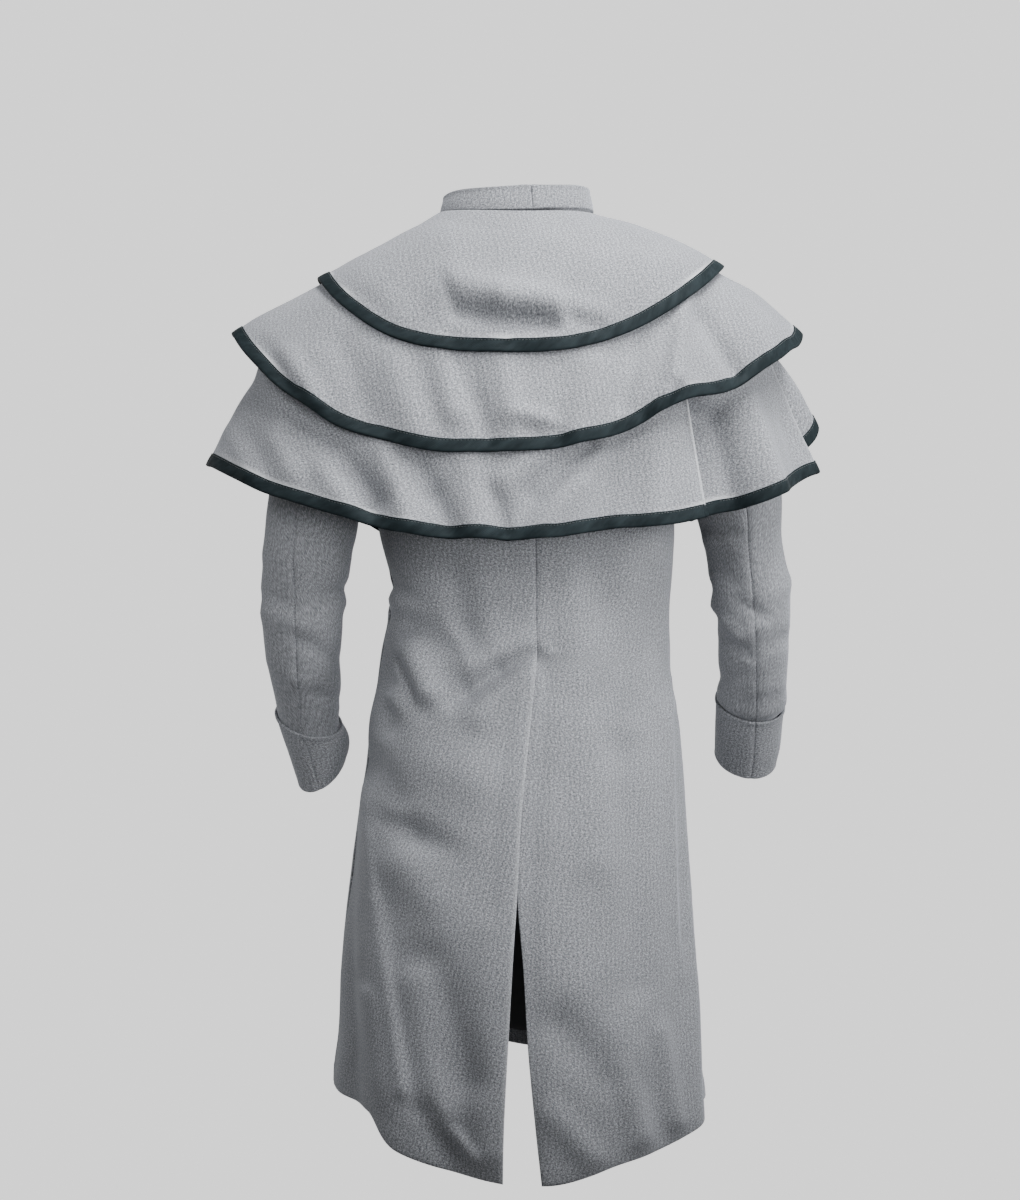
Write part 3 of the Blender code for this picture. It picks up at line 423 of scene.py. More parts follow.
def away_from_edge(grid, column):
    """Each point's distance along its row from the first (0) or the last (-1) column."""
    if column == 0:
        return running_total(steps_between(grid, 1), 1)
    return running_total(steps_between(grid[:, ::-1], 1), 1)[:, ::-1]


def seam_relief(distance):
    """The low ridge over a pressed-open seam's allowances, and the dip at the seam."""
    allowance = smooth_step((SEAM_ALLOWANCE - distance) / 0.006)
    return 0.0004 * allowance - 0.0011 * fading(distance, 0.002)


def cut_lengths(grid):
    """Where each point of a draped piece lies on the flat cloth it was cut from."""
    u = running_total(steps_between(grid, 1), 1)
    v = running_total(steps_between(grid))
    return np.stack([u - u.mean(axis=1, keepdims=True), v], axis=-1)


def mesh_piece(name, points, faces, material, cut=None, painted_light=None):
    """Makes a smooth mesh that rides on the coat; its per-point marks paint a highlight into the
    colour or, below zero, a line of shade.
    """
    mesh = bpy.data.meshes.new(name)
    mesh.from_pydata(np.asarray(points).tolist(), [], faces)
    mesh.materials.append(material)
    mesh.shade_smooth()
    if cut is not None:
        corners = np.zeros(len(mesh.loops), np.int32)
        mesh.loops.foreach_get("vertex_index", corners)
        layer = mesh.uv_layers.new(name="cut")
        layer.data.foreach_set("uv", np.asarray(cut, np.float32)[corners].ravel())
    if painted_light is not None:
        layer = mesh.attributes.new("painted_light", "FLOAT", "POINT")
        layer.data.foreach_set("value", np.asarray(painted_light, np.float32))
    piece = bpy.data.objects.new(name, mesh)
    bpy.context.scene.collection.objects.link(piece)
    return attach(piece, "root")


def quads(index):
    """Faces between the neighbouring rows and columns of a grid of point numbers."""
    corners = index[:-1, :-1], index[1:, :-1], index[1:, 1:], index[:-1, 1:]
    return np.stack([corner.ravel() for corner in corners], axis=1)


def cloth_shell(name, grid, thickness, material, cut=None, offset=0.0, painted_light_marks=None):
    """A closed thin wall of cloth on a grid of points, with softly rounded edges."""
    normals = outward(grid)
    rows, columns = grid.shape[:2]
    cut = cut_lengths(grid) if cut is None else cut
    half = np.broadcast_to(np.asarray(thickness, float) / 2, (rows, columns))[..., None]
    leaving = np.zeros_like(grid)
    for here, inner in (
        (np.s_[0, :], np.s_[1, :]), (np.s_[-1, :], np.s_[-2, :]),
        (np.s_[:, 0], np.s_[:, 1]), (np.s_[:, -1], np.s_[:, -2]),
    ):
        way = grid[here] - grid[inner]
        leaving[here] += way / np.maximum(np.linalg.norm(way, axis=-1, keepdims=True), 1e-12)
    size = np.linalg.norm(leaving, axis=-1, keepdims=True)
    leaving = leaving / np.maximum(size, 1.0)
    middle = grid + normals * offset - leaving * half
    top = [(0, c) for c in range(columns)]
    right = [(r, columns - 1) for r in range(1, rows)]
    bottom = [(rows - 1, c) for c in range(columns - 2, -1, -1)]
    left = [(r, 0) for r in range(rows - 2, 0, -1)]
    border = np.array(top + right + bottom + left)
    r, c = border[:, 0], border[:, 1]
    rims = []
    for turn in (50.0, 0.0, -50.0):
        lift, reach = math.sin(math.radians(turn)), math.cos(math.radians(turn))
        rims.append(middle[r, c] + (normals[r, c] * lift + leaving[r, c] * reach) * half[r, c])
    outer = (middle + normals * half).reshape(-1, 3)
    inner = (middle - normals * half).reshape(-1, 3)
    points = np.concatenate([outer, inner, *rims])
    flat = cut.reshape(-1, 2)
    uv = np.concatenate([flat, flat] + [cut[r, c]] * len(rims))
    # Per-point painted light for the outer face and rims: above zero a painted highlight, below zero a
    # painted shade; the inner face gets none.
    painted_marks = np.zeros((rows, columns)) if painted_light_marks is None else painted_light_marks
    painted_light = np.concatenate([painted_marks.ravel(), np.zeros(rows * columns)] + [painted_marks[r, c]] * len(rims))
    skin = quads(np.arange(rows * columns).reshape(rows, columns))
    faces = skin.tolist() + (skin[:, ::-1] + rows * columns).tolist()
    edge = r * columns + c
    loops = [edge]
    loops += [2 * rows * columns + k * len(border) + np.arange(len(border)) for k in range(len(rims))]
    loops.append(edge + rows * columns)
    for upper, lower in zip(loops, loops[1:]):
        nearer, further = np.roll(upper, -1), np.roll(lower, -1)
        faces += np.stack([upper, nearer, further, lower], axis=1).tolist()
    return mesh_piece(name, points, faces, material, uv, painted_light)


def add_node(tree, kind, **settings):
    """Adds a shader node and sets its properties or, by their labels, its sockets."""
    node = tree.nodes.new("ShaderNode" + kind)
    for name, value in settings.items():
        label = name.replace("_", " ").title()
        if hasattr(node, name):
            setattr(node, name, value)
        else:
            node.inputs[label].default_value = value
    return node


def new_material(name):
    """A material that is still plain: itself, its node tree, its links and its shader."""
    material = bpy.data.materials.new(name)
    material.use_nodes = True
    tree = material.node_tree
    return material, tree, tree.links.new, tree.nodes["Principled BSDF"]


def two_tones(tree, source, dark, light, low=0.0, high=1.0):
    """Colours from dark to light as a texture's value goes from low to high."""
    tone = add_node(tree, "ValToRGB")
    for stop, place, colour in zip(tone.color_ramp.elements, (low, high), (dark, light)):
        stop.position = place
        stop.color = (*colour, 1.0)
    tree.links.new(source, tone.inputs["Fac"])
    return tone


def wool_twill():
    """Heathered wool: pale and dark fibres over a fine diagonal rib, with a short nap."""
    material, tree, link, shader = new_material("wool_twill")
    cut = add_node(tree, "UVMap", uv_map="cut")
    lean = add_node(tree, "Mapping", rotation=(0.0, 0.0, math.radians(-7)))
    ribs = add_node(tree, "TexWave", scale=54.0, distortion=7.0, detail=2.0, detail_scale=1.2)
    twill = add_node(tree, "Mapping", rotation=(0.0, 0.0, math.radians(-62)))
    wales = add_node(tree, "TexWave", scale=190.0, distortion=1.5, detail=2.0, detail_scale=1.5)
    fibres = add_node(tree, "TexNoise", scale=700.0, detail=3.0, roughness=0.7)
    flecks = add_node(tree, "TexNoise", scale=430.0, detail=2.0, roughness=0.6)
    clouds = add_node(tree, "TexNoise", scale=14.0, detail=3.0, roughness=0.5)
    link(cut.outputs["UV"], lean.inputs["Vector"])
    link(lean.outputs["Vector"], ribs.inputs["Vector"])
    link(cut.outputs["UV"], twill.inputs["Vector"])
    link(twill.outputs["Vector"], wales.inputs["Vector"])
    for texture in (fibres, flecks, clouds):
        link(cut.outputs["UV"], texture.inputs["Vector"])
    heather = add_node(tree, "Mix", data_type="FLOAT", factor=0.4)
    link(fibres.outputs["Fac"], heather.inputs[2])
    link(flecks.outputs["Fac"], heather.inputs[3])
    blend = add_node(tree, "Mix", data_type="FLOAT", factor=0.035)
    link(heather.outputs[0], blend.inputs[2])
    link(ribs.outputs["Fac"], blend.inputs[3])
    tone = two_tones(
        tree, blend.outputs[0], (0.056, 0.060, 0.068), (0.400, 0.412, 0.440), 0.36, 0.64
    )
    middle = tone.color_ramp.elements.new(0.50)
    middle.color = (0.180, 0.187, 0.202, 1.0)
    shade = add_node(tree, "MapRange", from_min=0.3, from_max=0.7, to_min=0.92, to_max=1.06)
    link(clouds.outputs["Fac"], shade.inputs["Value"])
    shaded = add_node(tree, "VectorMath", operation="SCALE")
    link(tone.outputs["Color"], shaded.inputs[0])
    link(shade.outputs["Result"], shaded.inputs["Scale"])
    # Painted light from a per-point mark: above zero it mixes the colour toward pale grey as a painted
    # highlight on lit edges and ridges; below zero toward near black as painted shade in grooves and
    # slits.
    painted_light_marks = add_node(tree, "Attribute", attribute_name="painted_light")
    painted_highlight_share = add_node(tree, "Math", operation="MULTIPLY")
    painted_highlight_share.inputs[1].default_value = 0.50
    link(painted_light_marks.outputs["Fac"], painted_highlight_share.inputs[0])
    colour = add_node(tree, "Mix", data_type="RGBA")
    colour.inputs[7].default_value = (0.60, 0.61, 0.63, 1.0)
    link(painted_highlight_share.outputs[0], colour.inputs[0])
    link(shaded.outputs["Vector"], colour.inputs[6])
    painted_shade_share = add_node(tree, "Math", operation="MULTIPLY")
    painted_shade_share.inputs[1].default_value = -0.85
    link(painted_light_marks.outputs["Fac"], painted_shade_share.inputs[0])
    painted_shade_mix = add_node(tree, "Mix", data_type="RGBA")
    painted_shade_mix.inputs[7].default_value = (0.020, 0.021, 0.024, 1.0)
    link(painted_shade_share.outputs[0], painted_shade_mix.inputs[0])
    link(colour.outputs[2], painted_shade_mix.inputs[6])
    link(painted_shade_mix.outputs[2], shader.inputs["Base Color"])
    rough = add_node(tree, "MapRange", from_min=0.3, from_max=0.7, to_min=0.82, to_max=0.96)
    link(flecks.outputs["Fac"], rough.inputs["Value"])
    link(rough.outputs["Result"], shader.inputs["Roughness"])
    nap = add_node(tree, "Bump", strength=0.55, distance=0.0005)
    link(heather.outputs[0], nap.inputs["Height"])
    weave = add_node(tree, "Bump", strength=0.20, distance=0.0003)
    link(wales.outputs["Fac"], weave.inputs["Height"])
    link(nap.outputs["Normal"], weave.inputs["Normal"])
    link(weave.outputs["Normal"], shader.inputs["Normal"])
    shader.inputs["Specular IOR Level"].default_value = 0.25
    shader.inputs["Sheen Weight"].default_value = 0.30
    shader.inputs["Sheen Roughness"].default_value = 0.45
    shader.inputs["Sheen Tint"].default_value = (0.86, 0.90, 1.0, 1.0)
    return material


wool = wool_twill()
panel_grids = {}
for number, panel in enumerate(("back_left", "back_right", "front_left", "front_right")):
    skirt = skirt_rows(panel)
    grid = np.concatenate([yoke_rows(panel, skirt[0])[:-1], skirt])
    facing_back = panel.startswith("back")
    normals = outward(grid)
    facing = faces_back(normals if facing_back else -normals)
    depth = lap_depth(panel, grid)
    depth = depth + fold_depth(BACK_FOLDS if facing_back else FRONT_FOLDS, grid, facing)
    below = smooth_step((ARMPIT_Z - UNEVEN_REACH - grid[..., 2]) / UNEVEN_REACH)
    depth = depth + unevenness(grid, number) * below
    side_edge = 0 if panel in ("back_left", "front_right") else -1
    depth = depth + seam_relief(away_from_edge(grid, side_edge))
    if facing_back:
        sewn = smooth_step((grid[..., 2] - VENT_TOP_Z) / 0.004)
        depth = depth + seam_relief(away_from_edge(grid, -1 - side_edge)) * sewn
    grid = grid + normals * depth[..., None]
    panel_grids[panel] = grid
    hem_gap = np.linalg.norm(grid - grid[-1:], axis=-1)
    thickness = WOOL + HEM_EXTRA * smooth_step((HEM_TURN - hem_gap) / 0.003)
    # A painted highlight along the left back's lifted vent edge, below the vent's top.
    vent_edge = fading(away_from_edge(grid, -1), VENT_EDGE_HIGHLIGHT_WIDTH) * (grid[..., 2] < VENT_TOP_Z)
    painted_marks = vent_edge * VENT_EDGE_HIGHLIGHT if panel == "back_left" else None
    piece = cloth_shell(panel, grid, thickness, wool, painted_light_marks=painted_marks)
    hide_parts(panel)

# Front lining: black satin on the inside of the two front skirts, felled just above the hem.
# It shows through the open back vent.
LINING = 0.001
LINING_GAP = 0.0003
LINING_TOP_Z = -0.500
LINING_LIFT = 0.018
LINING_SKIP = {"front_left": 16, "front_right": 0}


def black_satin():
    """Black lining satin with a faint cross weave and soft gloss."""
    material, tree, link, shader = new_material("lining_satin")
    cut = add_node(tree, "UVMap", uv_map="cut")
    threads = add_node(tree, "TexWave", scale=260.0, distortion=0.8, detail=2.0)
    slubs = add_node(tree, "TexNoise", scale=90.0, detail=3.0, roughness=0.6)
    link(cut.outputs["UV"], threads.inputs["Vector"])
    link(cut.outputs["UV"], slubs.inputs["Vector"])
    tone = two_tones(tree, slubs.outputs["Fac"], (0.006, 0.006, 0.007), (0.022, 0.022, 0.025))
    link(tone.outputs["Color"], shader.inputs["Base Color"])
    rough = add_node(tree, "MapRange", to_min=0.36, to_max=0.50)
    link(slubs.outputs["Fac"], rough.inputs["Value"])
    link(rough.outputs["Result"], shader.inputs["Roughness"])
    weave = add_node(tree, "Bump", strength=0.25, distance=0.0002)
    link(threads.outputs["Fac"], weave.inputs["Height"])
    link(weave.outputs["Normal"], shader.inputs["Normal"])
    return material


satin = black_satin()
for panel, skipped in LINING_SKIP.items():
    grid = panel_grids[panel]
    first = int(np.argmin(np.abs(grid[:, SIDE_COLUMNS // 2, 2] - LINING_TOP_Z)))
    last = len(grid) - 1 - round(LINING_LIFT / BODY_STEP)
    part = grid[first:last:2, skipped::2]
    ripple = unevenness(part, 7, soft=0.0008, fine=0.0)
    part = part - outward(part) * (0.0004 + np.abs(ripple))[..., None]
    inset = -(WOOL / 2 + LINING_GAP + LINING / 2)
    piece = cloth_shell("lining_" + panel, part, LINING, satin, offset=inset)
    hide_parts("lining_" + panel)

# Sleeves: each is cut in two, a top and an under piece, and shaped to a bent arm. Their back
# seam runs in line with the cuff's, and the lower end reaches inside the turned-back cuff.
SLEEVE_STEP = 0.006
SLEEVE_STATIONS = 36
CUFF_EASE = 0.0031
SLEEVE_END = 0.94
SLEEVE_SHOWS_Z = -0.330
SLEEVE_HIDDEN_Z = -0.605
Section = namedtuple("Section", "outer_x outer_z inner_x inner_z y depth lean seam")
SLEEVES = {
    "left": rows_of(
        Section,
        (0.1900, -0.080, 0.1720, -0.262, 0.004, 0.068, 0, 90),
        (0.2180, -0.093, 0.1790, -0.267, 0.004, 0.073, 0, 86),
        (0.2430, -0.115, 0.1850, -0.277, 0.004, 0.074, 0, 80),
        (0.2640, -0.150, 0.1885, -0.293, 0.004, 0.071, 0, 75),
        (0.2790, -0.200, 0.1900, -0.315, 0.004, 0.066, 0, 70),
        (0.2885, -0.265, 0.1905, -0.344, 0.004, 0.061, 0, 67),
        (0.2950, -0.335, 0.1920, -0.376, 0.006, 0.057, 5, 67),
        (0.3005, -0.385, 0.1990, -0.412, 0.008, 0.054, 8, 70),
        (0.3046, -0.440, 0.2050, -0.452, 0.008, 0.052, 12, 76),
        (0.3035, -0.490, 0.2095, -0.492, 0.000, 0.049, 20, 79),
        (0.2985, -0.530, 0.2108, -0.530, -0.018, 0.046, 25, 79),
        (0.2925, -0.558, 0.2103, -0.558, -0.034, 0.043, 27, 78),
        (0.2866, -0.585, 0.2115, -0.590, -0.050, 0.041, 28, 76),
    ),
    "right": rows_of(
        Section,
        (0.1920, -0.070, 0.1840, -0.262, 0.004, 0.068, 0, 90),
        (0.2220, -0.082, 0.1915, -0.267, 0.004, 0.073, 0, 91),
        (0.2490, -0.104, 0.1990, -0.277, 0.004, 0.074, 0, 92),
        (0.2700, -0.138, 0.2050, -0.294, 0.004, 0.071, 0, 93),
        (0.2870, -0.188, 0.2105, -0.316, 0.004, 0.066, 0, 93),
        (0.3020, -0.258, 0.2160, -0.344, 0.004, 0.061, 0, 93),
        (0.3195, -0.335, 0.2215, -0.373, 0.006, 0.056, 5, 93),
        (0.3190, -0.385, 0.2290, -0.402, 0.008, 0.053, 8, 95),
        (0.3280, -0.435, 0.2345, -0.446, 0.008, 0.051, 12, 97),
        (0.3312, -0.490, 0.2450, -0.490, 0.000, 0.048, 20, 98),
        (0.3326, -0.535, 0.2505, -0.535, -0.020, 0.045, 26, 96),
        (0.3345, -0.562, 0.2530, -0.562, -0.036, 0.042, 29, 93),
        (0.3362, -0.588, 0.2545, -0.585, -0.052, 0.041, 31, 91),
    ),
}
CUFFS = {
    "left": rows_of(
        Section,
        (0.2875, -0.5985, 0.2090, -0.6130, -0.062, 0.0435, 28, 76),
        (0.2800, -0.6210, 0.1995, -0.6280, -0.073, 0.0440, 29, 76),
        (0.2700, -0.6500, 0.1985, -0.6400, -0.084, 0.0440, 30, 78),
        (0.2584, -0.6854, 0.2025, -0.6524, -0.095, 0.0430, 31, 80),
    ),
    "right": rows_of(
        Section,
        (0.3368, -0.5900, 0.2545, -0.5860, -0.058, 0.0440, 32, 91),
        (0.3372, -0.6130, 0.2565, -0.6100, -0.073, 0.0440, 33, 90),
        (0.3376, -0.6380, 0.2590, -0.6350, -0.087, 0.0430, 34, 90),
        (0.3350, -0.6620, 0.2614, -0.6580, -0.100, 0.0420, 35, 90),
    ),
}
SLEEVE_BACK_FOLDS = mm_folds(
    (268, -386, 206, -402, 7.6, -2.7, -5.7), (296, -410, 226, -434, 11.9, 2.7, 4.5),
    (304, -452, 280, -466, 10.2, -3.3, -5.1), (240, -462, 206, -450, 8.5, -2.7, -5.4),
    (298, -478, 248, -494, 10.2, 3.6, 3.9), (260, -512, 214, -534, 10.2, -3.6, -4.5),
    (290, -534, 258, -566, 11, 3, 3.6), (254, -570, 216, -582, 7.6, -2.7, -3.3),
    (-222, -376, -262, -389, 6.8, -6, -4.2), (-230, -392, -276, -404, 10.2, 4.5, 2.4),
    (-238, -424, -262, -448, 10.2, -3.3, -2.4), (-248, -488, -267, -508, 5.9, 3.6, 5.4),
    (-267, -508, -292, -492, 5.9, 5.4, 3), (-262, -466, -288, -482, 8.5, -5.1, -6),
    (-250, -512, -278, -528, 7.6, -3.6, -4.5), (-320, -508, -284, -524, 8.5, -4.5, -2.4),
    (-328, -440, -300, -456, 10.2, 3, 2.1), (-254, -562, -274, -550, 7.6, -3, -2.1),
    (-318, -566, -288, -574, 7.6, 2.7, 2.1),
)
SLEEVE_FRONT_FOLDS = mm_folds(
    (296, -420, 212, -446, 8.5, -3, -6.3), (300, -448, 214, -468, 10.2, 2.7, 5.1),
    (292, -494, 214, -480, 8.5, -2.7, -5.7), (286, -540, 220, -552, 9.3, -3.3, -3.9),
    (-322, -418, -240, -446, 8.5, -2.7, -6.3), (-326, -446, -244, -470, 10.2, 2.7, 5.1),
    (-324, -500, -250, -484, 8.5, -2.7, -5.7), (-326, -546, -258, -554, 9.3, -3.3, -3.9),
)


def arm_section(section, side, angle, ease=0.0):
    """A ring round the arm; 0 is its outer side, 90 its back, which the seam angle turns to."""
    sign = 1.0 if side == "left" else -1.0
    turn = np.radians(angle)
    turn = turn + math.radians(section.seam - 90.0) * np.sin(turn) ** 2
    reach_x = (section.outer_x - section.inner_x) / 2
    reach_z = (section.outer_z - section.inner_z) / 2
    shrink = 1.0 - ease / math.hypot(reach_x, reach_z)
    lean = math.radians(section.lean)
    depth = section.depth - ease
    x = (section.outer_x + section.inner_x) / 2 + reach_x * shrink * np.cos(turn)
    y = section.y + math.cos(lean) * depth * np.sin(turn)
    z = (section.outer_z + section.inner_z) / 2 + reach_z * shrink * np.cos(turn)
    z = z - math.sin(lean) * depth * np.sin(turn)
    return np.stack([x * sign, y, z], axis=-1)


def loft(rings, step):
    """Carries a surface smoothly through a stack of rings, with rows about a step apart."""
    rings = np.asarray(rings)
    gaps = steps_between(rings).mean(axis=1)
    places = running_total(gaps)
    slopes = np.diff(rings, axis=0) / gaps[:, None, None]
    before, after = gaps[:-1, None, None], gaps[1:, None, None]
    inner = (slopes[:-1] * after + slopes[1:] * before) / (before + after)
    tangents = np.concatenate([slopes[:1], inner, slopes[-1:]])
    at = np.linspace(0.0, places[-1], 1 + round(places[-1] / step))
    i = np.clip(np.searchsorted(places, at, side="right") - 1, 0, len(gaps) - 1)
    span = gaps[i][:, None, None]
    share = (at - places[i])[:, None, None] / span
    return hermite(share, span, rings[i], tangents[i], rings[i + 1], tangents[i + 1])


for side, sections in SLEEVES.items():
    for half, first in (("top", -90.0), ("under", 90.0)):
        angle = np.linspace(first, first + 180.0, SLEEVE_STATIONS + 1)
        rings = [arm_section(section, side, angle) for section in sections]
        rings += [arm_section(section, side, angle, CUFF_EASE) for section in CUFFS[side]]
        rings[-1] = rings[-2] + (rings[-1] - rings[-2]) * SLEEVE_END
        grid = loft(rings, SLEEVE_STEP)
        if side == "right":
            grid = grid[:, ::-1]
        normals = outward(grid)
        z = grid[..., 2]
        showing = smooth_step((SLEEVE_SHOWS_Z - z) / 0.03) * smooth_step((z - SLEEVE_HIDDEN_Z) / 0.02)
        back = faces_back(normals)
        depth = fold_depth(SLEEVE_BACK_FOLDS, grid, back * showing)
        depth = depth + fold_depth(SLEEVE_FRONT_FOLDS, grid, (1.0 - back) * showing)
        depth = depth + unevenness(grid, 11 if side == "left" else 12, soft=0.0010) * showing
        for column in (0, -1):
            depth = depth + seam_relief(away_from_edge(grid, column)) * showing
        grid = grid + normals * depth[..., None]
        name = "sleeve_" + half + "_" + side
        piece = cloth_shell(name, grid, WOOL, wool)
        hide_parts(name)

# Cuffs: a deep band of the wool turned back over each sleeve end, with its folded top edge
# standing off the sleeve and a row of stitches a little below that edge.
CUFF_STEP = 0.003
CUFF_STATIONS = 112
CUFF_ROLL = 0.0010
CUFF_ROLL_WIDTH = 0.003
CUFF_STITCH_DROP = 0.0080
CUFF_STITCH_DENT = 0.0007
CUFF_FOLD_EXTRA = 0.0010
CUFF_MOUTH_EXTRA = 0.0008
CUFF_EDGE_WIDTH = 0.004
CUFF_SEAM_ANGLE = 90.0


def thread(name, dark, light):
    """Twisted sewing thread."""
    material, tree, link, shader = new_material(name)
    place = add_node(tree, "TexCoord")
    twist = add_node(tree, "TexNoise", scale=1800.0, detail=2.0)
    link(place.outputs["Object"], twist.inputs["Vector"])
    tone = two_tones(tree, twist.outputs["Fac"], dark, light)
    link(tone.outputs["Color"], shader.inputs["Base Color"])
    shader.inputs["Roughness"].default_value = 0.7
    shader.inputs["Sheen Weight"].default_value = 0.3
    return material


def stitch_row(name, path, normals, material, length=0.0030, gap=0.0009, radius=0.00028):
    """A row of machine stitches laid along a path on the cloth."""
    places = running_total(steps_between(path))
    count = int(places[-1] / (length + gap))
    profile = ((0.0, 0.3, -1.0), (0.25, 1.0, 0.4), (0.75, 1.0, 0.4), (1.0, 0.3, -1.0))
    points, faces = [], []
    for number in range(count):
        start = (number + 0.5) * places[-1] / count - length / 2
        for share, size, lift in profile:
            at = start + share * length
            centre = np.array([np.interp(at, places, path[:, k]) for k in range(3)])
            ahead = np.array([np.interp(at + 0.001, places, path[:, k]) for k in range(3)])
            up = np.array([np.interp(at, places, normals[:, k]) for k in range(3)])
            side = np.cross(up, ahead - centre)
            side = side / max(np.linalg.norm(side), 1e-9)
            for turn in (0.0, 90.0, 180.0, 270.0):
                c, s = math.cos(math.radians(turn)), math.sin(math.radians(turn))
                points.append(centre + (side * c + up * (s + lift)) * radius * size)
        base = number * 16
        for ring in range(3):
            for k in range(4):
                a, b = base + ring * 4 + k, base + ring * 4 + (k + 1) % 4
                faces.append((a, b, b + 4, a + 4))
        faces.append((base + 3, base + 2, base + 1, base))
        faces.append((base + 12, base + 13, base + 14, base + 15))
    return mesh_piece(name, points, faces, material)


grey_thread = thread("thread_grey", (0.10, 0.105, 0.115), (0.26, 0.27, 0.29))
for side, sections in CUFFS.items():
    angle = np.linspace(CUFF_SEAM_ANGLE, CUFF_SEAM_ANGLE + 360.0, CUFF_STATIONS + 1)
    grid = loft([arm_section(section, side, angle) for section in sections], CUFF_STEP)
    if side == "right":
        grid = grid[:, ::-1]
    normals = outward(grid)
    drop = running_total(steps_between(grid))
    depth = CUFF_ROLL * fading(drop - CUFF_ROLL_WIDTH, CUFF_ROLL_WIDTH)
    depth = depth - CUFF_STITCH_DENT * fading(drop - CUFF_STITCH_DROP, 0.002)
    depth = depth + unevenness(grid, 21 if side == "left" else 22, soft=0.0012)
    depth = depth + seam_relief(away_from_edge(grid, 0)) + seam_relief(away_from_edge(grid, -1))
    grid = grid + normals * depth[..., None]
    rise = drop[-1] - drop
    thickness = WOOL + CUFF_FOLD_EXTRA * fading(drop, CUFF_EDGE_WIDTH)
    thickness = thickness + CUFF_MOUTH_EXTRA * fading(rise, CUFF_EDGE_WIDTH)
    name = "cuff_" + side
    piece = cloth_shell(name, grid, thickness, wool)
    row = int(np.argmin(np.abs(drop.mean(axis=1) - CUFF_STITCH_DROP)))
    path = grid[row] + outward(grid)[row] * WOOL / 2
    stitches = stitch_row("stitches_" + name, path, outward(grid)[row], grey_thread)
    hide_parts(name)

# Capes: three circular-cut tiers sewn into the neck seam, each shorter than the one under it,
# open at the centre front. They hang over the shoulders in soft flutes.
CAPE_STEP = 0.0052
CAPE_FRONT_GAP = 0.003
CAPE_NECK_RISE = 0.0008
NECK_CLEAR = 0.0012
NECK_LAYER = 0.0036
NECK_TILT = 0.0030
NECK_TILT_START = 440.0
NECK_TILT_END = 560.0
FRONT_LAYER = 0.0024
SIDE_SOFTNESS = 0.10
LAYER_CLEAR = 0.0034
LAYER_SEARCH = 0.03
LAYER_PUSH = 0.012
BINDING_WIDTH = 0.0144
# Width of the painted highlight line on the wool just above each binding.
CAPE_HIGHLIGHT_WIDTH = 0.0010
FRONT_SHARE = 0.8
FRONT_SHIFT = (0.012, 0.0, 0.030)
CapeRow = namedtuple(
    "CapeRow", "left_x left_z right_x right_z back_y back_z front_y front_z left_drop right_drop"
)
Pleat = namedtuple("Pleat", "x0 z0 x1 z1 depth reach edge")
PLEAT = Pleat(-0.183, -0.225, -0.203, -0.372, 0.0260, 0.048, 0.0016)
PLEAT_RISE = 0.09
FLAP_ANGLE = 170.8
PLEAT_ANGLES = (119.0, 130.0)
PLEAT_COLUMNS = 72
CapeFlute = namedtuple("CapeFlute", "angle spread out lift start")
Cape = namedtuple("Cape", "columns roundness front_drop rows flutes folds")
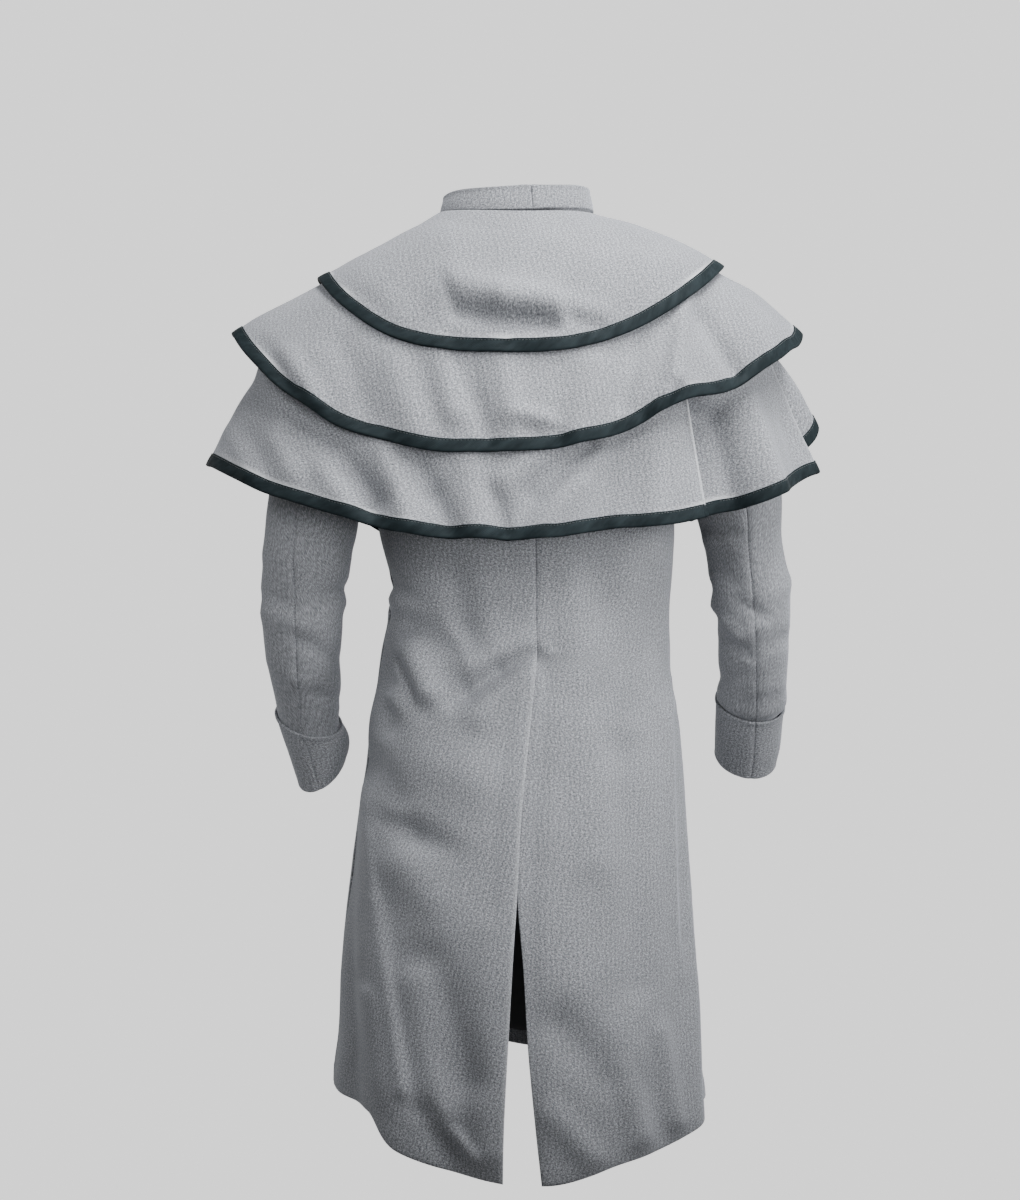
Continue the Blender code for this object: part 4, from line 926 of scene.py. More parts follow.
CAPES = {
    "lower": Cape(
        400, 0.97, 5.2,
        rows_of(
            CapeRow,
            (0.130, -0.0345, 0.132, -0.0250, 0.108, -0.052, 0.108, -0.096, 1.90, 1.90),
            (0.170, -0.0575, 0.173, -0.0410, 0.130, -0.091, 0.130, -0.137, 1.60, 1.90),
            (0.206, -0.0790, 0.210, -0.0590, 0.143, -0.129, 0.144, -0.175, 1.30, 1.85),
            (0.241, -0.1020, 0.245, -0.0840, 0.151, -0.168, 0.152, -0.214, 1.10, 1.80),
            (0.272, -0.1300, 0.273, -0.1140, 0.157, -0.208, 0.157, -0.254, 1.10, 1.60),
            (0.296, -0.1620, 0.293, -0.1480, 0.162, -0.247, 0.161, -0.293, 1.15, 1.45),
            (0.3135, -0.197, 0.3060, -0.186, 0.167, -0.287, 0.165, -0.333, 1.25, 1.40),
            (0.3400, -0.250, 0.3300, -0.243, 0.175, -0.346, 0.171, -0.392, 1.40, 1.50),
            (0.3681, -0.3035, 0.3576, -0.3076, 0.182, -0.3933, 0.176, -0.432, 1.55, 1.60),
        ),
        rows_of(
            CapeFlute,
            (121, 6, 0.009, 0.003, 0.60), (130, 6, -0.010, 0.000, 0.60),
            (141, 8, 0.008, 0.000, 0.60), (171, 5, 0.008, 0.000, 0.45),
            (186, 5, -0.030, 0.000, 0.42), (200, 11, 0.042, 0.062, 0.50),
            (104, 8, 0.000, 0.008, 0.60), (68, 13, 0.000, -0.006, 0.60),
            (36, 8, 0.006, 0.000, 0.60), (226, 10, -0.010, 0.000, 0.50),
            (336, 10, 0.012, 0.004, 0.50), (316, 10, -0.009, 0.000, 0.50),
            (246, 9, 0.007, 0.000, 0.50),
        ),
        mm_folds(
            (94, -132, -26, -146, 17, -9.5, -9.5), (312, -205, 298, -255, 13, -6.6, -5.1),
            (300, -250, 272, -316, 16, 5.4, 7.5), (336, -270, 318, -320, 13, 4.5, 6),
            (264, -246, 228, -281, 16, -9, -8.4), (230, -278, 179, -350, 14, -8.4, -15),
            (232, -316, 206, -360, 17, 4.5, 8.4), (170, -290, 140, -378, 17, 6.6, 12),
            (136, -290, 112, -342, 13, -6.6, -12.9), (112, -342, 92, -384, 12, -12, -6),
            (76, -300, 64, -386, 20, 6, 9), (46, -340, 30, -388, 13, -4.5, -9.9),
            (-66, -282, -3, -344, 15, -10.5, -10.8), (-3, -344, 18, -384, 13, -10.5, -6),
            (-26, -278, 34, -330, 16, 6.9, 6.9), (-46, -330, -8, -388, 15, 6.6, 6.9),
            (-94, -296, -78, -388, 17, -4.5, -8.4), (-138, -266, -142, -374, 20, 5.4, 8.4),
            (-228, -236, -252, -366, 16.5, -8.5, -17), (-264, -230, -292, -336, 15, 9, 14),
            (-316, -250, -330, -316, 13, -6, -6),
        ),
    ),
    "middle": Cape(
        372, 0.92, 1.9,
        rows_of(
            CapeRow,
            (0.1320, -0.0300, 0.134, -0.0195, 0.1115, -0.049, 0.113, -0.092, 1.90, 1.90),
            (0.1720, -0.0525, 0.175, -0.0345, 0.1340, -0.088, 0.136, -0.133, 1.60, 1.90),
            (0.2080, -0.0730, 0.2115, -0.0530, 0.1465, -0.126, 0.151, -0.172, 1.30, 1.85),
            (0.2425, -0.0920, 0.248, -0.0720, 0.1550, -0.165, 0.160, -0.211, 1.10, 1.80),
            (0.2775, -0.1110, 0.283, -0.0890, 0.1625, -0.205, 0.167, -0.251, 1.10, 1.60),
            (0.3105, -0.1290, 0.315, -0.1145, 0.1710, -0.246, 0.173, -0.291, 1.15, 1.45),
            (0.3386, -0.1484, 0.3446, -0.1411, 0.1780, -0.2927, 0.179, -0.328, 1.15, 1.30),
        ),
        rows_of(
            CapeFlute,
            (119, 11, 0.010, 0.031, 0.60), (142, 14, 0.006, 0.022, 0.60),
            (49, 9.5, 0.000, -0.012, 0.50), (67, 13, 0.000, -0.0125, 0.50),
            (101, 6, 0.000, 0.005, 0.60), (156, 6, 0.000, 0.005, 0.60), (34, 7, 0.006, 0.000, 0.60),
            (205, 12, 0.008, 0.006, 0.60), (334, 12, 0.008, 0.006, 0.60),
            (62, 8, -0.004, 0.000, 0.60),
        ),
        mm_folds(
            (94, -132, -26, -146, 15, -11, -11), (278, -176, 240, -240, 12, 4.3, 7.9),
            (305, -166, 272, -222, 11, -3.6, -6), (216, -166, 184, -256, 16, -2.9, -5.3),
            (160, -186, 130, -276, 19, 4.8, 7.7), (106, -184, 90, -250, 14, 3.6, 7.2),
            (80, -184, 62, -246, 10, -5.3, -7.2), (62, -246, 50, -284, 10, -6, -3.6),
            (36, -186, 26, -250, 16, 4.8, 8.4), (26, -250, -20, -262, 10, 8.4, 6),
            (8, -266, -32, -282, 10, -4.8, -4.1), (-67, -196, -50, -276, 18, 4.1, 7.2),
            (-128, -164, -104, -240, 12, -4.8, -6.2), (-184, -114, -164, -209, 12, 8, 12.5),
            (-164, -209, -142, -246, 10, 12.5, 8), (-206, -136, -242, -198, 13, -8.5, -11),
            (-262, -120, -284, -180, 15, 3, 3),
        ),
    ),
    "upper": Cape(
        340, 0.84, 1.9,
        rows_of(
            CapeRow,
            (0.1335, -0.0255, 0.136, -0.0140, 0.1150, -0.046, 0.118, -0.088, 1.90, 1.90),
            (0.1735, -0.0475, 0.1765, -0.0280, 0.1390, -0.084, 0.142, -0.129, 1.60, 1.90),
            (0.2100, -0.0650, 0.2125, -0.0435, 0.1540, -0.123, 0.158, -0.168, 1.30, 1.85),
            (0.2374, -0.0805, 0.2471, -0.0633, 0.1650, -0.1795, 0.170, -0.210, 1.05, 1.80),
        ),
        rows_of(
            CapeFlute,
            (75, 24, -0.003, 0.000, 0.40), (140, 12, 0.003, 0.003, 0.40),
            (53, 23, 0.000, -0.0115, 0.30),
        ),
        mm_folds(
            (84, -102, 34, -118, 21, 9, 18), (34, -118, -20, -124, 20, 18, 15),
            (100, -94, 84, -132, 8, -3, -8), (84, -132, 36, -143, 9, -10, -17),
            (36, -143, -22, -146, 9, -17, -15), (-50, -143, -78, -153, 8, -3.4, -3),
            (-36, -122, -82, -134, 12, 5, 4), (80, -160, 30, -166, 10, 2.8, 4),
            (30, -166, -20, -166, 10, 4, 3.4), (170, -98, 150, -140, 18, 1.4, 2.4),
            (-131, -69, -143, -122, 18, 1.2, 2.2), (214, -76, 190, -126, 14, -1, -2),
        ),
    ),
}


def cape_ring(row, part_angle, roundness, front_drop):
    """One row of a cape at its own angles, open at the centre front by twice the gap."""
    left_end = math.degrees(math.asin(CAPE_FRONT_GAP / row.left_x))
    right_end = math.degrees(math.asin(CAPE_FRONT_GAP / row.right_x))
    angle = 270.0 + left_end + (360.0 - left_end - right_end) * part_angle
    c, s = cos_sin(angle)
    left, back = c > 0.0, s > 0.0
    x = np.where(left, row.left_x, row.right_x) * c
    side_z = np.where(left, row.left_z, row.right_z)
    drop = np.where(back, np.where(left, row.left_drop, row.right_drop), front_drop)
    y = np.where(back, row.back_y, -row.front_y) * np.abs(s) ** roundness
    end_z = np.where(back, row.back_z, row.front_z)
    soft = SIDE_SOFTNESS
    share = (np.sqrt(s * s + soft * soft) - soft) / (math.sqrt(1.0 + soft * soft) - soft)
    return angle, np.stack([x, y, side_z + (end_z - side_z) * share**drop], axis=-1)


def neck_tilt(angle):
    """How far the outermost cape's neck edge rides up on the right of the back."""
    rising = smooth_step((angle - NECK_TILT_START) / 50.0)
    return NECK_TILT * rising * smooth_step((NECK_TILT_END - angle) / 40.0)


def cape_grid(cape, layer):
    """A whole cape, from the neck seam to its hem and round from one front edge to the other."""
    part_angle = np.linspace(0.0, 1.0, cape.columns + 1)
    close = np.linspace(*PLEAT_ANGLES, PLEAT_COLUMNS) if layer == 0 else np.zeros(0)
    part_angle = np.unique(np.concatenate([part_angle, (close + 90.0) / 360.0]))
    half_gap = math.degrees(math.asin(CAPE_FRONT_GAP / NECK_HALF_WIDTH))
    angle = 270.0 + half_gap + (360.0 - 2 * half_gap) * part_angle
    steep = np.maximum(0.0, -np.sin(np.radians(angle))) ** 2
    out = WOOL / 2 + NECK_CLEAR + FRONT_LAYER * layer * steep
    tilt = neck_tilt(angle) * (layer == 2)
    rings = [neck_ring(angle, CAPE_NECK_RISE + NECK_LAYER * layer + tilt, out)]
    for index, row in enumerate(cape.rows, start=1):
        part = index / len(cape.rows)
        angle, ring = cape_ring(row, part_angle, cape.roundness, cape.front_drop)
        flat_out = ring * (1.0, 1.0, 0.0)
        flat_out = flat_out / np.linalg.norm(flat_out, axis=-1, keepdims=True)
        for flute in cape.flutes:
            share = fading(angle_away(angle, flute.angle), flute.spread)
            share = share * smooth_step((part - flute.start) / (1.0 - flute.start))
            ring = ring + flat_out * (flute.out * share)[:, None]
            ring = ring + np.array([0.0, 0.0, flute.lift]) * share[:, None]
        rings.append(ring)
    return loft(rings, CAPE_STEP)


def pleat_line(pleat, points):
    """How far down a pleat's edge each point is, and how far beyond the edge it lies."""
    down = np.clip((pleat.z0 - points[..., 2]) / (pleat.z0 - pleat.z1), 0.0, 1.2)
    return down, pleat.x0 + (pleat.x1 - pleat.x0) * down - points[..., 0]


def pleat_depth(pleat, points):
    """A knife-edged pleat: the cloth drops behind its edge and rises again slowly beyond it."""
    down, beyond = pleat_line(pleat, points)
    fall = smooth_step(beyond / 0.0030) * np.exp(-(np.abs(beyond / pleat.reach) ** 3))
    edge = pleat.edge * fading(beyond + 0.0010, 0.0016)
    return (edge - pleat.depth * fall) * smooth_step(down / 0.15)


def circular_cut(grid):
    """Where each point lies on the circular sector of cloth that a cape is cut from."""
    radius = running_total(steps_between(grid).mean(axis=1))
    widths = steps_between(grid, 1).sum(axis=1)
    sector = (widths[-1] - widths[0]) / radius[-1]
    radius = radius + widths[0] / sector
    across = steps_between(grid, 1).mean(axis=0)
    part = running_total(across) / across.sum()
    turn = (part - 0.5) * sector
    return np.stack([radius[:, None] * np.sin(turn), -radius[:, None] * np.cos(turn)], axis=-1)


def lay_over(grid, under, clear):
    """Moves a cape outwards wherever it would lie nearer to the cloth under it than its own wall."""
    for _ in range(2):
        normals = outward(grid)
        for r in range(grid.shape[0]):
            for c in range(grid.shape[1]):
                here = Vector(grid[r, c])
                place, facing, _, _ = under.find_nearest(here, LAYER_SEARCH)
                if place is None:
                    continue
                outside = (here - place).dot(facing)
                if outside < clear:
                    grid[r, c] += normals[r, c] * min(clear - outside, LAYER_PUSH)
    return grid


def under_surface(grids):
    """The outer face of the cloth that a cape lies on, to measure from."""
    points, faces = [], []
    for grid in grids:
        outer = grid + outward(grid) * WOOL / 2
        base = len(points)
        rows, columns = grid.shape[:2]
        points += [Vector(p) for p in outer.reshape(-1, 3)]
        faces += quads(base + np.arange(rows * columns).reshape(rows, columns)).tolist()
    return BVHTree.FromPolygons(points, faces)


cape_grids = {}
under = None
for layer, (tier, cape) in enumerate(CAPES.items()):
    grid = cape_grid(cape, layer)
    normals = outward(grid)
    back = faces_back(normals, 1.6)
    depth = fold_depth(cape.folds, grid, back)
    if tier == "lower":
        sunk = pleat_depth(PLEAT, grid) * back
        depth = depth + sunk
        grid = grid - sunk[..., None] * (0.0, 0.0, PLEAT_RISE)
    mirrored = grid * (-1.0, 1.0, 1.0) + FRONT_SHIFT
    depth = depth + fold_depth(cape.folds, mirrored, (1.0 - back) * FRONT_SHARE)
    from_neck = np.linspace(0.0, 1.0, len(grid))[:, None]
    depth = depth + unevenness(grid, 31 + layer, soft=0.0018, fine=0.0005)
    grid = grid + normals * (depth * smooth_step(from_neck / 0.25))[..., None]
    if under is not None:
        grid = lay_over(grid, under, LAYER_CLEAR)
    from_hem = running_total(steps_between(grid)[::-1])[::-1]
    # Painted highlights in the cape's colour: a pale line just above the binding where the wool's
    # ridge catches the light, and on the lower cape along the pleat's edge and the near flap's
    # contour.
    cape_highlight = fading(from_hem - BINDING_WIDTH - CAPE_HIGHLIGHT_WIDTH, CAPE_HIGHLIGHT_WIDTH)
    if tier == "lower":
        beyond = pleat_line(PLEAT, grid)[1]
        cape_highlight = np.maximum(cape_highlight, 0.9 * fading(beyond + 0.0004, 0.0011) * (back > 0.5))
        turn = np.degrees(np.arctan2(grid[0, :, 1] / NECK_DEPTH, grid[0, :, 0] / NECK_HALF_WIDTH))
        flap_highlight = fading(turn - FLAP_ANGLE, 1.0) * smooth_step((from_neck - 0.45) / 0.15)
        cape_highlight = np.maximum(cape_highlight, 0.7 * flap_highlight)
    under = under_surface([grid])
    cape_grids[tier] = grid
    name = "cape_" + tier
    piece = cloth_shell(name, grid, WOOL, wool, cut=circular_cut(grid), painted_light_marks=cape_highlight)
    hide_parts(name)

# Bindings: dark green-black bias strips folded over the hem of each cape and stitched
# through close to their upper edge. The strip on the lowest cape is joined on its right back.
BINDING_GAP = 0.0003
BINDING = 0.0009
JOIN_X = -0.226
JOIN_WIDTH = 0.0026
JOIN_RISE = 0.0013
STITCH_LINE = 0.87
HEM_LEAN_REACH = 0.004
# One side of the folded strip: how far up it, as a share of its width, and how far it stands
# off the cape, as a share of its cloth's thickness.
StripPoint = namedtuple("StripPoint", "up out")
BINDING_OUTLINE = rows_of(
    StripPoint,
    (1.000, 0.00), (1.012, 0.45), (0.985, 1.10), (0.930, 1.10), (STITCH_LINE, 0.62), (0.800, 1.10),
    (0.600, 1.35), (0.350, 1.40), (0.120, 1.25), (-0.010, 1.00),
)
BINDING_FOLD = ((-0.0009, 0.0016), (-0.0013, 0.0), (-0.0009, -0.0016))


def dark_bias():
    """Dark green-black bias binding: a close diagonal weave with a slight gloss, and paler diagonal
    streaks of painted sheen in its colour.
    """
    material, tree, link, shader = new_material("bias_binding")
    cut = add_node(tree, "UVMap", uv_map="cut")
    turn = add_node(tree, "Mapping", rotation=(0.0, 0.0, math.radians(45)))
    ribs = add_node(tree, "TexWave", scale=240.0, distortion=1.0, detail=2.0)
    # Painted sheen: long diagonal patches lighten the binding's colour, and the lighter patches are
    # also glossier.
    glints = add_node(
        tree, "Mapping", vector_type="TEXTURE",
        rotation=(0.0, 0.0, math.radians(52)), scale=(0.009, 0.030, 1.0),
    )
    sheen_streaks = add_node(tree, "TexNoise", scale=1.0, detail=3.0, roughness=0.65)
    link(cut.outputs["UV"], turn.inputs["Vector"])
    link(turn.outputs["Vector"], ribs.inputs["Vector"])
    link(cut.outputs["UV"], glints.inputs["Vector"])
    link(glints.outputs["Vector"], sheen_streaks.inputs["Vector"])
    tone = two_tones(
        tree, sheen_streaks.outputs["Fac"], (0.0042, 0.0078, 0.0094), (0.0105, 0.0168, 0.0196), 0.35, 0.70
    )
    link(tone.outputs["Color"], shader.inputs["Base Color"])
    rough = add_node(tree, "MapRange", from_min=0.3, from_max=0.7, to_min=0.78, to_max=0.62)
    link(sheen_streaks.outputs["Fac"], rough.inputs["Value"])
    link(rough.outputs["Result"], shader.inputs["Roughness"])
    weave = add_node(tree, "Bump", strength=0.35, distance=0.0003)
    link(ribs.outputs["Fac"], weave.inputs["Height"])
    link(weave.outputs["Normal"], shader.inputs["Normal"])
    shader.inputs["Specular IOR Level"].default_value = 0.10
    return material


bias = dark_bias()
black_thread = thread("thread_black", (0.006, 0.009, 0.011), (0.020, 0.028, 0.032))


def up_from_hem(grid, distances):
    """For each column, the points and directions at given lengths above the hem."""
    normals = outward(grid)
    places = np.zeros((len(distances), grid.shape[1], 3))
    facing = np.zeros_like(places)
    for c in range(grid.shape[1]):
        column, column_normals = grid[::-1, c], normals[::-1, c]
        run = running_total(steps_between(column))
        for k in range(3):
            places[:, c, k] = np.interp(distances, run, column[:, k])
            facing[:, c, k] = np.interp(distances, run, column_normals[:, k])
    return places, facing / np.linalg.norm(facing, axis=-1, keepdims=True)


for tier, grid in cape_grids.items():
    near = WOOL / 2 + BINDING_GAP
    outer = [(point.up * BINDING_WIDTH, near + BINDING * point.out) for point in BINDING_OUTLINE]
    inner = [(up, -out) for up, out in outer[::-1]]
    climb = [(share * BINDING_WIDTH, near) for share in (0.0, 0.25, 0.5, 0.75)]
    hollow = [(up, -out) for up, out in climb[::-1]] + [(-BINDING_GAP, 0.0)] + climb
    outline = outer + list(BINDING_FOLD) + inner + hollow
    heights = np.array([along for along, _ in outline])
    places, facing = up_from_hem(grid, np.maximum(heights, 0.0))
    hem, above = up_from_hem(grid, np.array([0.0, HEM_LEAN_REACH]))[0]
    up = (above - hem) / np.linalg.norm(above - hem, axis=-1, keepdims=True)
    below = np.minimum(heights, 0.0)[:, None, None] * up[None]
    out = np.array([side for _, side in outline])[:, None, None]
    if tier == "lower":
        join = fading(grid[-1, :, 0] - JOIN_X, JOIN_WIDTH) * (grid[-1, :, 1] > 0.0)
        out = out + np.sign(out) * JOIN_RISE * join[None, :, None]
    points = places + below + facing * out
    sides, count = points.shape[:2]
    along = running_total(steps_between(grid[-1]))
    around_cut = running_total(np.hypot(*np.diff(np.array(outline), axis=0).T))
    uv = np.stack(np.broadcast_arrays(along[None, :], around_cut[:, None]), axis=-1)
    index = np.arange(sides * count).reshape(sides, count)
    faces = quads(np.concatenate([index, index[:1]])).tolist()
    faces.append(index[::-1, 0].tolist())
    faces.append(index[:, -1].tolist())
    name = "binding_" + tier
    piece = mesh_piece(name, points.reshape(-1, 3), faces, bias, uv.reshape(-1, 2))
    line, line_facing = up_from_hem(grid, np.array([BINDING_WIDTH * STITCH_LINE]))
    path = line[0] + line_facing[0] * (near + BINDING * 0.75)
    stitches = stitch_row("stitches_" + name, path, line_facing[0], black_thread)
    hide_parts(name)

# Collar: a narrow stand of doubled wool, sewn into the neck seam above the capes and open at
# the centre front. A short slit shows at the back seam, and the left side has sunk a little.
COLLAR_HEIGHT = 0.045
COLLAR_LEFT_SLUMP = 0.20
COLLAR_SIDE_DIP = 0.09
COLLAR_FOOT = 0.0142
COLLAR_ROWS = 64
COLLAR_COLUMNS = 240
COLLAR_SEAM_ANGLE = 96.0
COLLAR_SEAM_REACH = 0.68
COLLAR_SEAM_LEAN = 0.9
COLLAR_SEAM_DEPTH = 0.0032
COLLAR_BULGE = 0.0012
COLLAR_GROOVE = 0.0030
COLLAR_LINE_WIDTH = 0.0012
COLLAR_SHADE_END = 488.0
COLLAR_TOP_EXTRA = 0.0008
seam_columns = COLLAR_SEAM_ANGLE + np.linspace(-1.6, 1.6, 17)
half_gap = math.degrees(math.asin(CAPE_FRONT_GAP / NECK_HALF_WIDTH))
angle = np.linspace(270.0 + half_gap, 630.0 - half_gap, COLLAR_COLUMNS + 1)
angle = angle[np.abs(angle - 360.0 - COLLAR_SEAM_ANGLE) > 1.9]
angle = np.sort(np.concatenate([angle, seam_columns + 360.0]))
slump = COLLAR_LEFT_SLUMP * np.maximum(0.0, np.cos(np.radians(angle)))
slump = slump + COLLAR_SIDE_DIP * np.abs(np.cos(np.radians(angle))) ** 12
rise = np.linspace(1.0, 0.0, COLLAR_ROWS + 1)[:, None]
all_angles = np.broadcast_to(angle, (COLLAR_ROWS + 1, len(angle)))
grid = neck_ring(all_angles, COLLAR_HEIGHT * (1.0 - slump) * rise)
normals = outward(grid)
away = angle - 360.0 - COLLAR_SEAM_ANGLE - COLLAR_SEAM_LEAN * (1.0 - rise)
open_part = smooth_step((rise - (1.0 - COLLAR_SEAM_REACH)) / 0.15)
depth = -COLLAR_SEAM_DEPTH * fading(away, 0.62) * (0.10 + 0.90 * open_part)
depth = depth + 0.0010 * fading(away - 2.4, 1.6) * open_part
depth = depth + COLLAR_BULGE * np.sin(np.pi * rise) ** 2
above_foot = COLLAR_HEIGHT * rise - COLLAR_FOOT - neck_tilt(angle)
depth = depth - COLLAR_GROOVE * smooth_step(-above_foot / COLLAR_LINE_WIDTH)
# Painted shade: a dark line in the colour along the groove at the collar's foot, fading out on the
# right, and down the open part of the back slit.
foot_shade = fading(above_foot - 0.0002, COLLAR_LINE_WIDTH)
foot_shade = foot_shade * smooth_step((COLLAR_SHADE_END - angle) / 20.0)
slit_shade = fading(away, 0.50) * open_part
depth = depth + unevenness(grid, 41, soft=0.0010)
grid = grid + normals * depth[..., None]
thickness = WOOL + COLLAR_TOP_EXTRA * smooth_step((rise - 0.86) / 0.1) + np.zeros_like(depth)
piece = cloth_shell("collar", grid, thickness, wool, painted_light_marks=-np.maximum(foot_shade, slit_shade))
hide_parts("collar")

# Buttons: five plain turned horn buttons down the left front, each with a raised rim round a
# shallow well and sewn on through its four holes with two bars of black thread.
BUTTON_RADIUS = 0.011
BUTTON_HEIGHT = 0.0036
BUTTON_COUNT = 5
BUTTON_CLEAR = 0.0006
BUTTON_SIDES = 64
BUTTON_WELL = 0.58
HOLE_RADIUS = 0.0011
HOLE_SPREAD = 0.0024
HOLE_DEPTH = 0.0016
THREAD_RISE = 0.0006
ButtonRing = namedtuple("ButtonRing", "radius height")
BUTTON_FACE = rows_of(
    ButtonRing,
    (0.00, 0.60), (0.58, 0.66), (0.68, 0.92), (0.78, 1.00), (0.90, 0.98), (1.00, 0.62),
    (0.96, 0.20), (0.80, 0.0),
)


def dark_horn():
    """Polished dark horn with paler streaks running across the button."""
    material, tree, link, shader = new_material("button_horn")
    place = add_node(tree, "TexCoord")
    stretch = add_node(tree, "Mapping", scale=(60.0, 380.0, 60.0))
    streaks = add_node(tree, "TexNoise", scale=1.0, detail=4.0, roughness=0.6, distortion=0.8)
    link(place.outputs["Object"], stretch.inputs["Vector"])
    link(stretch.outputs["Vector"], streaks.inputs["Vector"])
    tone = two_tones(
        tree, streaks.outputs["Fac"], (0.016, 0.018, 0.020), (0.085, 0.080, 0.072), 0.38, 0.72
    )
    link(tone.outputs["Color"], shader.inputs["Base Color"])
    rough = add_node(tree, "MapRange", to_min=0.22, to_max=0.40)
    link(streaks.outputs["Fac"], rough.inputs["Value"])
    link(rough.outputs["Result"], shader.inputs["Roughness"])
    return material


horn = dark_horn()
front_face = under_surface([panel_grids["front_left"]])
for number in range(1, BUTTON_COUNT + 1):
    name = "button_%d" % number
    low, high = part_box(name)
    centre = (low + high) / 2
    place, facing, _, _ = front_face.find_nearest(centre)
    turn = facing.to_track_quat("Z", "Y").to_matrix()
    seat = place + facing * BUTTON_CLEAR
    shares = np.concatenate([np.linspace(0.0, BUTTON_WELL, 20), np.linspace(0.60, 1.0, 18)])
    steps = np.linspace(0.0, 360.0, BUTTON_SIDES + 1)[:-1]
    points, faces = [], []
    rings = [(share, float(read_table(BUTTON_FACE[:6], "height", share))) for share in shares]
    rings += [(ring.radius, ring.height) for ring in BUTTON_FACE[6:]]
    for share, height in rings[1:]:
        for step in steps:
            x = share * BUTTON_RADIUS * math.cos(math.radians(step))
            y = share * BUTTON_RADIUS * math.sin(math.radians(step))
            z = height * BUTTON_HEIGHT
            nearest = math.hypot(abs(x) - HOLE_SPREAD / 2, abs(y) - HOLE_SPREAD / 2)
            if share < BUTTON_WELL:
                z -= HOLE_DEPTH * float(smooth_step((HOLE_RADIUS - nearest) / 0.0005))
            points.append(seat + turn @ Vector((x, y, z)))
    sides = len(steps)
    for ring in range(len(rings) - 2):
        for k in range(sides):
            a, b = ring * sides + k, ring * sides + (k + 1) % sides
            faces.append((b, a, a + sides, b + sides))
    middle = len(points)
    points.append(seat + facing * rings[0][1] * BUTTON_HEIGHT)
    faces += [(middle, k, (k + 1) % sides) for k in range(sides)]
    last = (len(rings) - 2) * sides
    faces.append([last + k for k in range(sides)][::-1])
    piece = mesh_piece(name, [tuple(p) for p in points], faces, horn)
    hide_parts(name)
    for bar, across in enumerate((HOLE_SPREAD / 2, -HOLE_SPREAD / 2)):
        ends = [Vector((side * HOLE_SPREAD / 2, across, 0.0)) for side in (1, -1)]
        path = []
        for share in np.linspace(0.0, 1.0, 9):
            spot = ends[0].lerp(ends[1], share)
            spot.z = BUTTON_HEIGHT * 0.60 + THREAD_RISE * math.sin(math.pi * share) - 0.0004
            path.append(seat + turn @ spot)
        sewn = stitch_row(
            "%s_thread_%d" % (name, bar + 1), np.array([tuple(p) for p in path]),
            np.array([tuple(facing)] * len(path)), black_thread, length=0.0026, gap=0.0, radius=0.0004,
        )

# Studio: a pale disc of floor below the coat, a room whose far wall is bright at eye level and
# dims above and below it, and five gridded softboxes: overhead, high behind the coat, level
# with its back, and one to each side.
CAMERA_DISTANCE = 3.0
CAMERA_AZIMUTH = 174.0
CAMERA_Z = -0.463
LENS_MM = 75.0
SENSOR_MM = 36.0
AXIS_PIXEL = 517
FRAME_WIDTH, FRAME_HEIGHT = 1020, 1200
FLOOR_Z = -1.70
FLOOR_RADIUS = 1.40
SOFTBOX_SIZE = 0.9

rim = [math.radians(turn) for turn in range(0, 360, 5)]
floor_mesh = bpy.data.meshes.new("floor")
floor_mesh.from_pydata(
    [(FLOOR_RADIUS * math.cos(turn), FLOOR_RADIUS * math.sin(turn), FLOOR_Z) for turn in rim],
    [], [list(range(len(rim)))],
)
floor = bpy.data.objects.new("floor", floor_mesh)
bpy.context.scene.collection.objects.link(floor)
pale, tree, link, shader = new_material("pale_floor")
mottle = add_node(tree, "TexNoise", scale=3.0, detail=3.0)
paint = two_tones(tree, mottle.outputs["Fac"], (0.28, 0.28, 0.28), (0.32, 0.32, 0.32))
link(paint.outputs["Color"], shader.inputs["Base Color"])
shader.inputs["Roughness"].default_value = 0.9
floor_mesh.materials.append(pale)

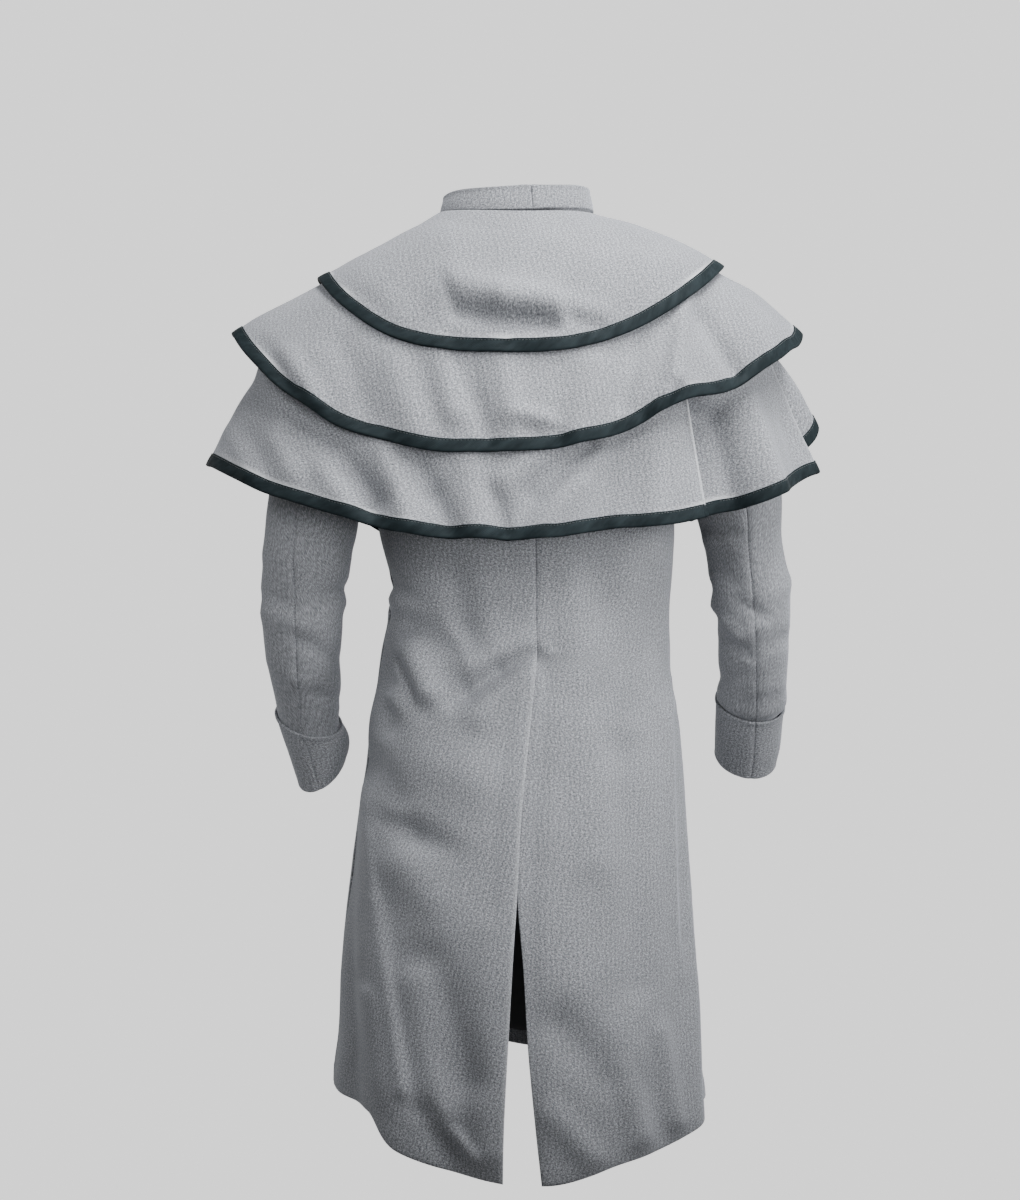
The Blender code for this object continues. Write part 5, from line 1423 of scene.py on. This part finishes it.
world = bpy.data.worlds.new("studio")
bpy.context.scene.world = world
world.use_nodes = True
tree = world.node_tree
link = tree.links.new
way = add_node(tree, "TexCoord")
parts = add_node(tree, "SeparateXYZ")
backdrop = add_node(tree, "ValToRGB")
stops = ((0.00, 0.08), (0.28, 0.12), (0.375, 1.39), (0.625, 1.39), (0.74, 0.30), (1.00, 0.45))
ramp = backdrop.color_ramp.elements
for number, (place, value) in enumerate(stops):
    stop = ramp[number] if number < 2 else ramp.new(place)
    stop.position = place
    stop.color = (value, value, value, 1.0)
height = add_node(tree, "MapRange", from_min=-1.0, from_max=1.0)
room = add_node(tree, "MapRange", from_min=-0.30, from_max=0.30, to_min=1.0, to_max=0.12)
link(way.outputs["Generated"], parts.inputs[0])
link(parts.outputs["Z"], height.inputs["Value"])
link(parts.outputs["Y"], room.inputs["Value"])
link(height.outputs["Result"], backdrop.inputs["Fac"])
link(backdrop.outputs["Color"], tree.nodes["Background"].inputs["Color"])
link(room.outputs["Result"], tree.nodes["Background"].inputs["Strength"])


def soft_light(name, place, target, power, beam):
    """A round softbox with a honeycomb grid that keeps its light in a beam of some degrees."""
    lamp = bpy.data.lights.new(name, "AREA")
    lamp.shape = "DISK"
    lamp.size = SOFTBOX_SIZE
    lamp.energy = power
    lamp.spread = math.radians(beam)
    item = bpy.data.objects.new(name, lamp)
    item.location = place
    item.rotation_mode = "QUATERNION"
    item.rotation_quaternion = (Vector(target) - Vector(place)).to_track_quat("-Z", "Y")
    bpy.context.scene.collection.objects.link(item)


soft_light("overhead", (-0.50, 0.50, 1.75), (-0.10, 0.08, -0.05), 10.0, 60)
soft_light("high", (-0.35, 1.00, 0.90), (-0.05, 0.10, -0.12), 3.3, 50)
soft_light("back", (-0.50, 1.90, -0.50), (0.00, 0.10, -0.44), 1.9, 40)
soft_light("right", (-1.80, 0.95, 0.20), (-0.15, 0.00, -0.36), 4.0, 50)
soft_light("left", (1.00, 1.40, 0.50), (0.12, 0.05, -0.20), 1.7, 50)

turn = math.radians(CAMERA_AZIMUTH)
lens = bpy.data.cameras.new("camera")
lens.lens = LENS_MM
lens.sensor_width = SENSOR_MM
lens.shift_x = (FRAME_WIDTH / 2 - AXIS_PIXEL) / FRAME_HEIGHT
camera = bpy.data.objects.new("camera", lens)
camera.location = (CAMERA_DISTANCE * math.sin(turn), -CAMERA_DISTANCE * math.cos(turn), CAMERA_Z)
camera.rotation_euler = (math.radians(90.0), 0.0, turn)
bpy.context.scene.collection.objects.link(camera)
bpy.context.scene.camera = camera
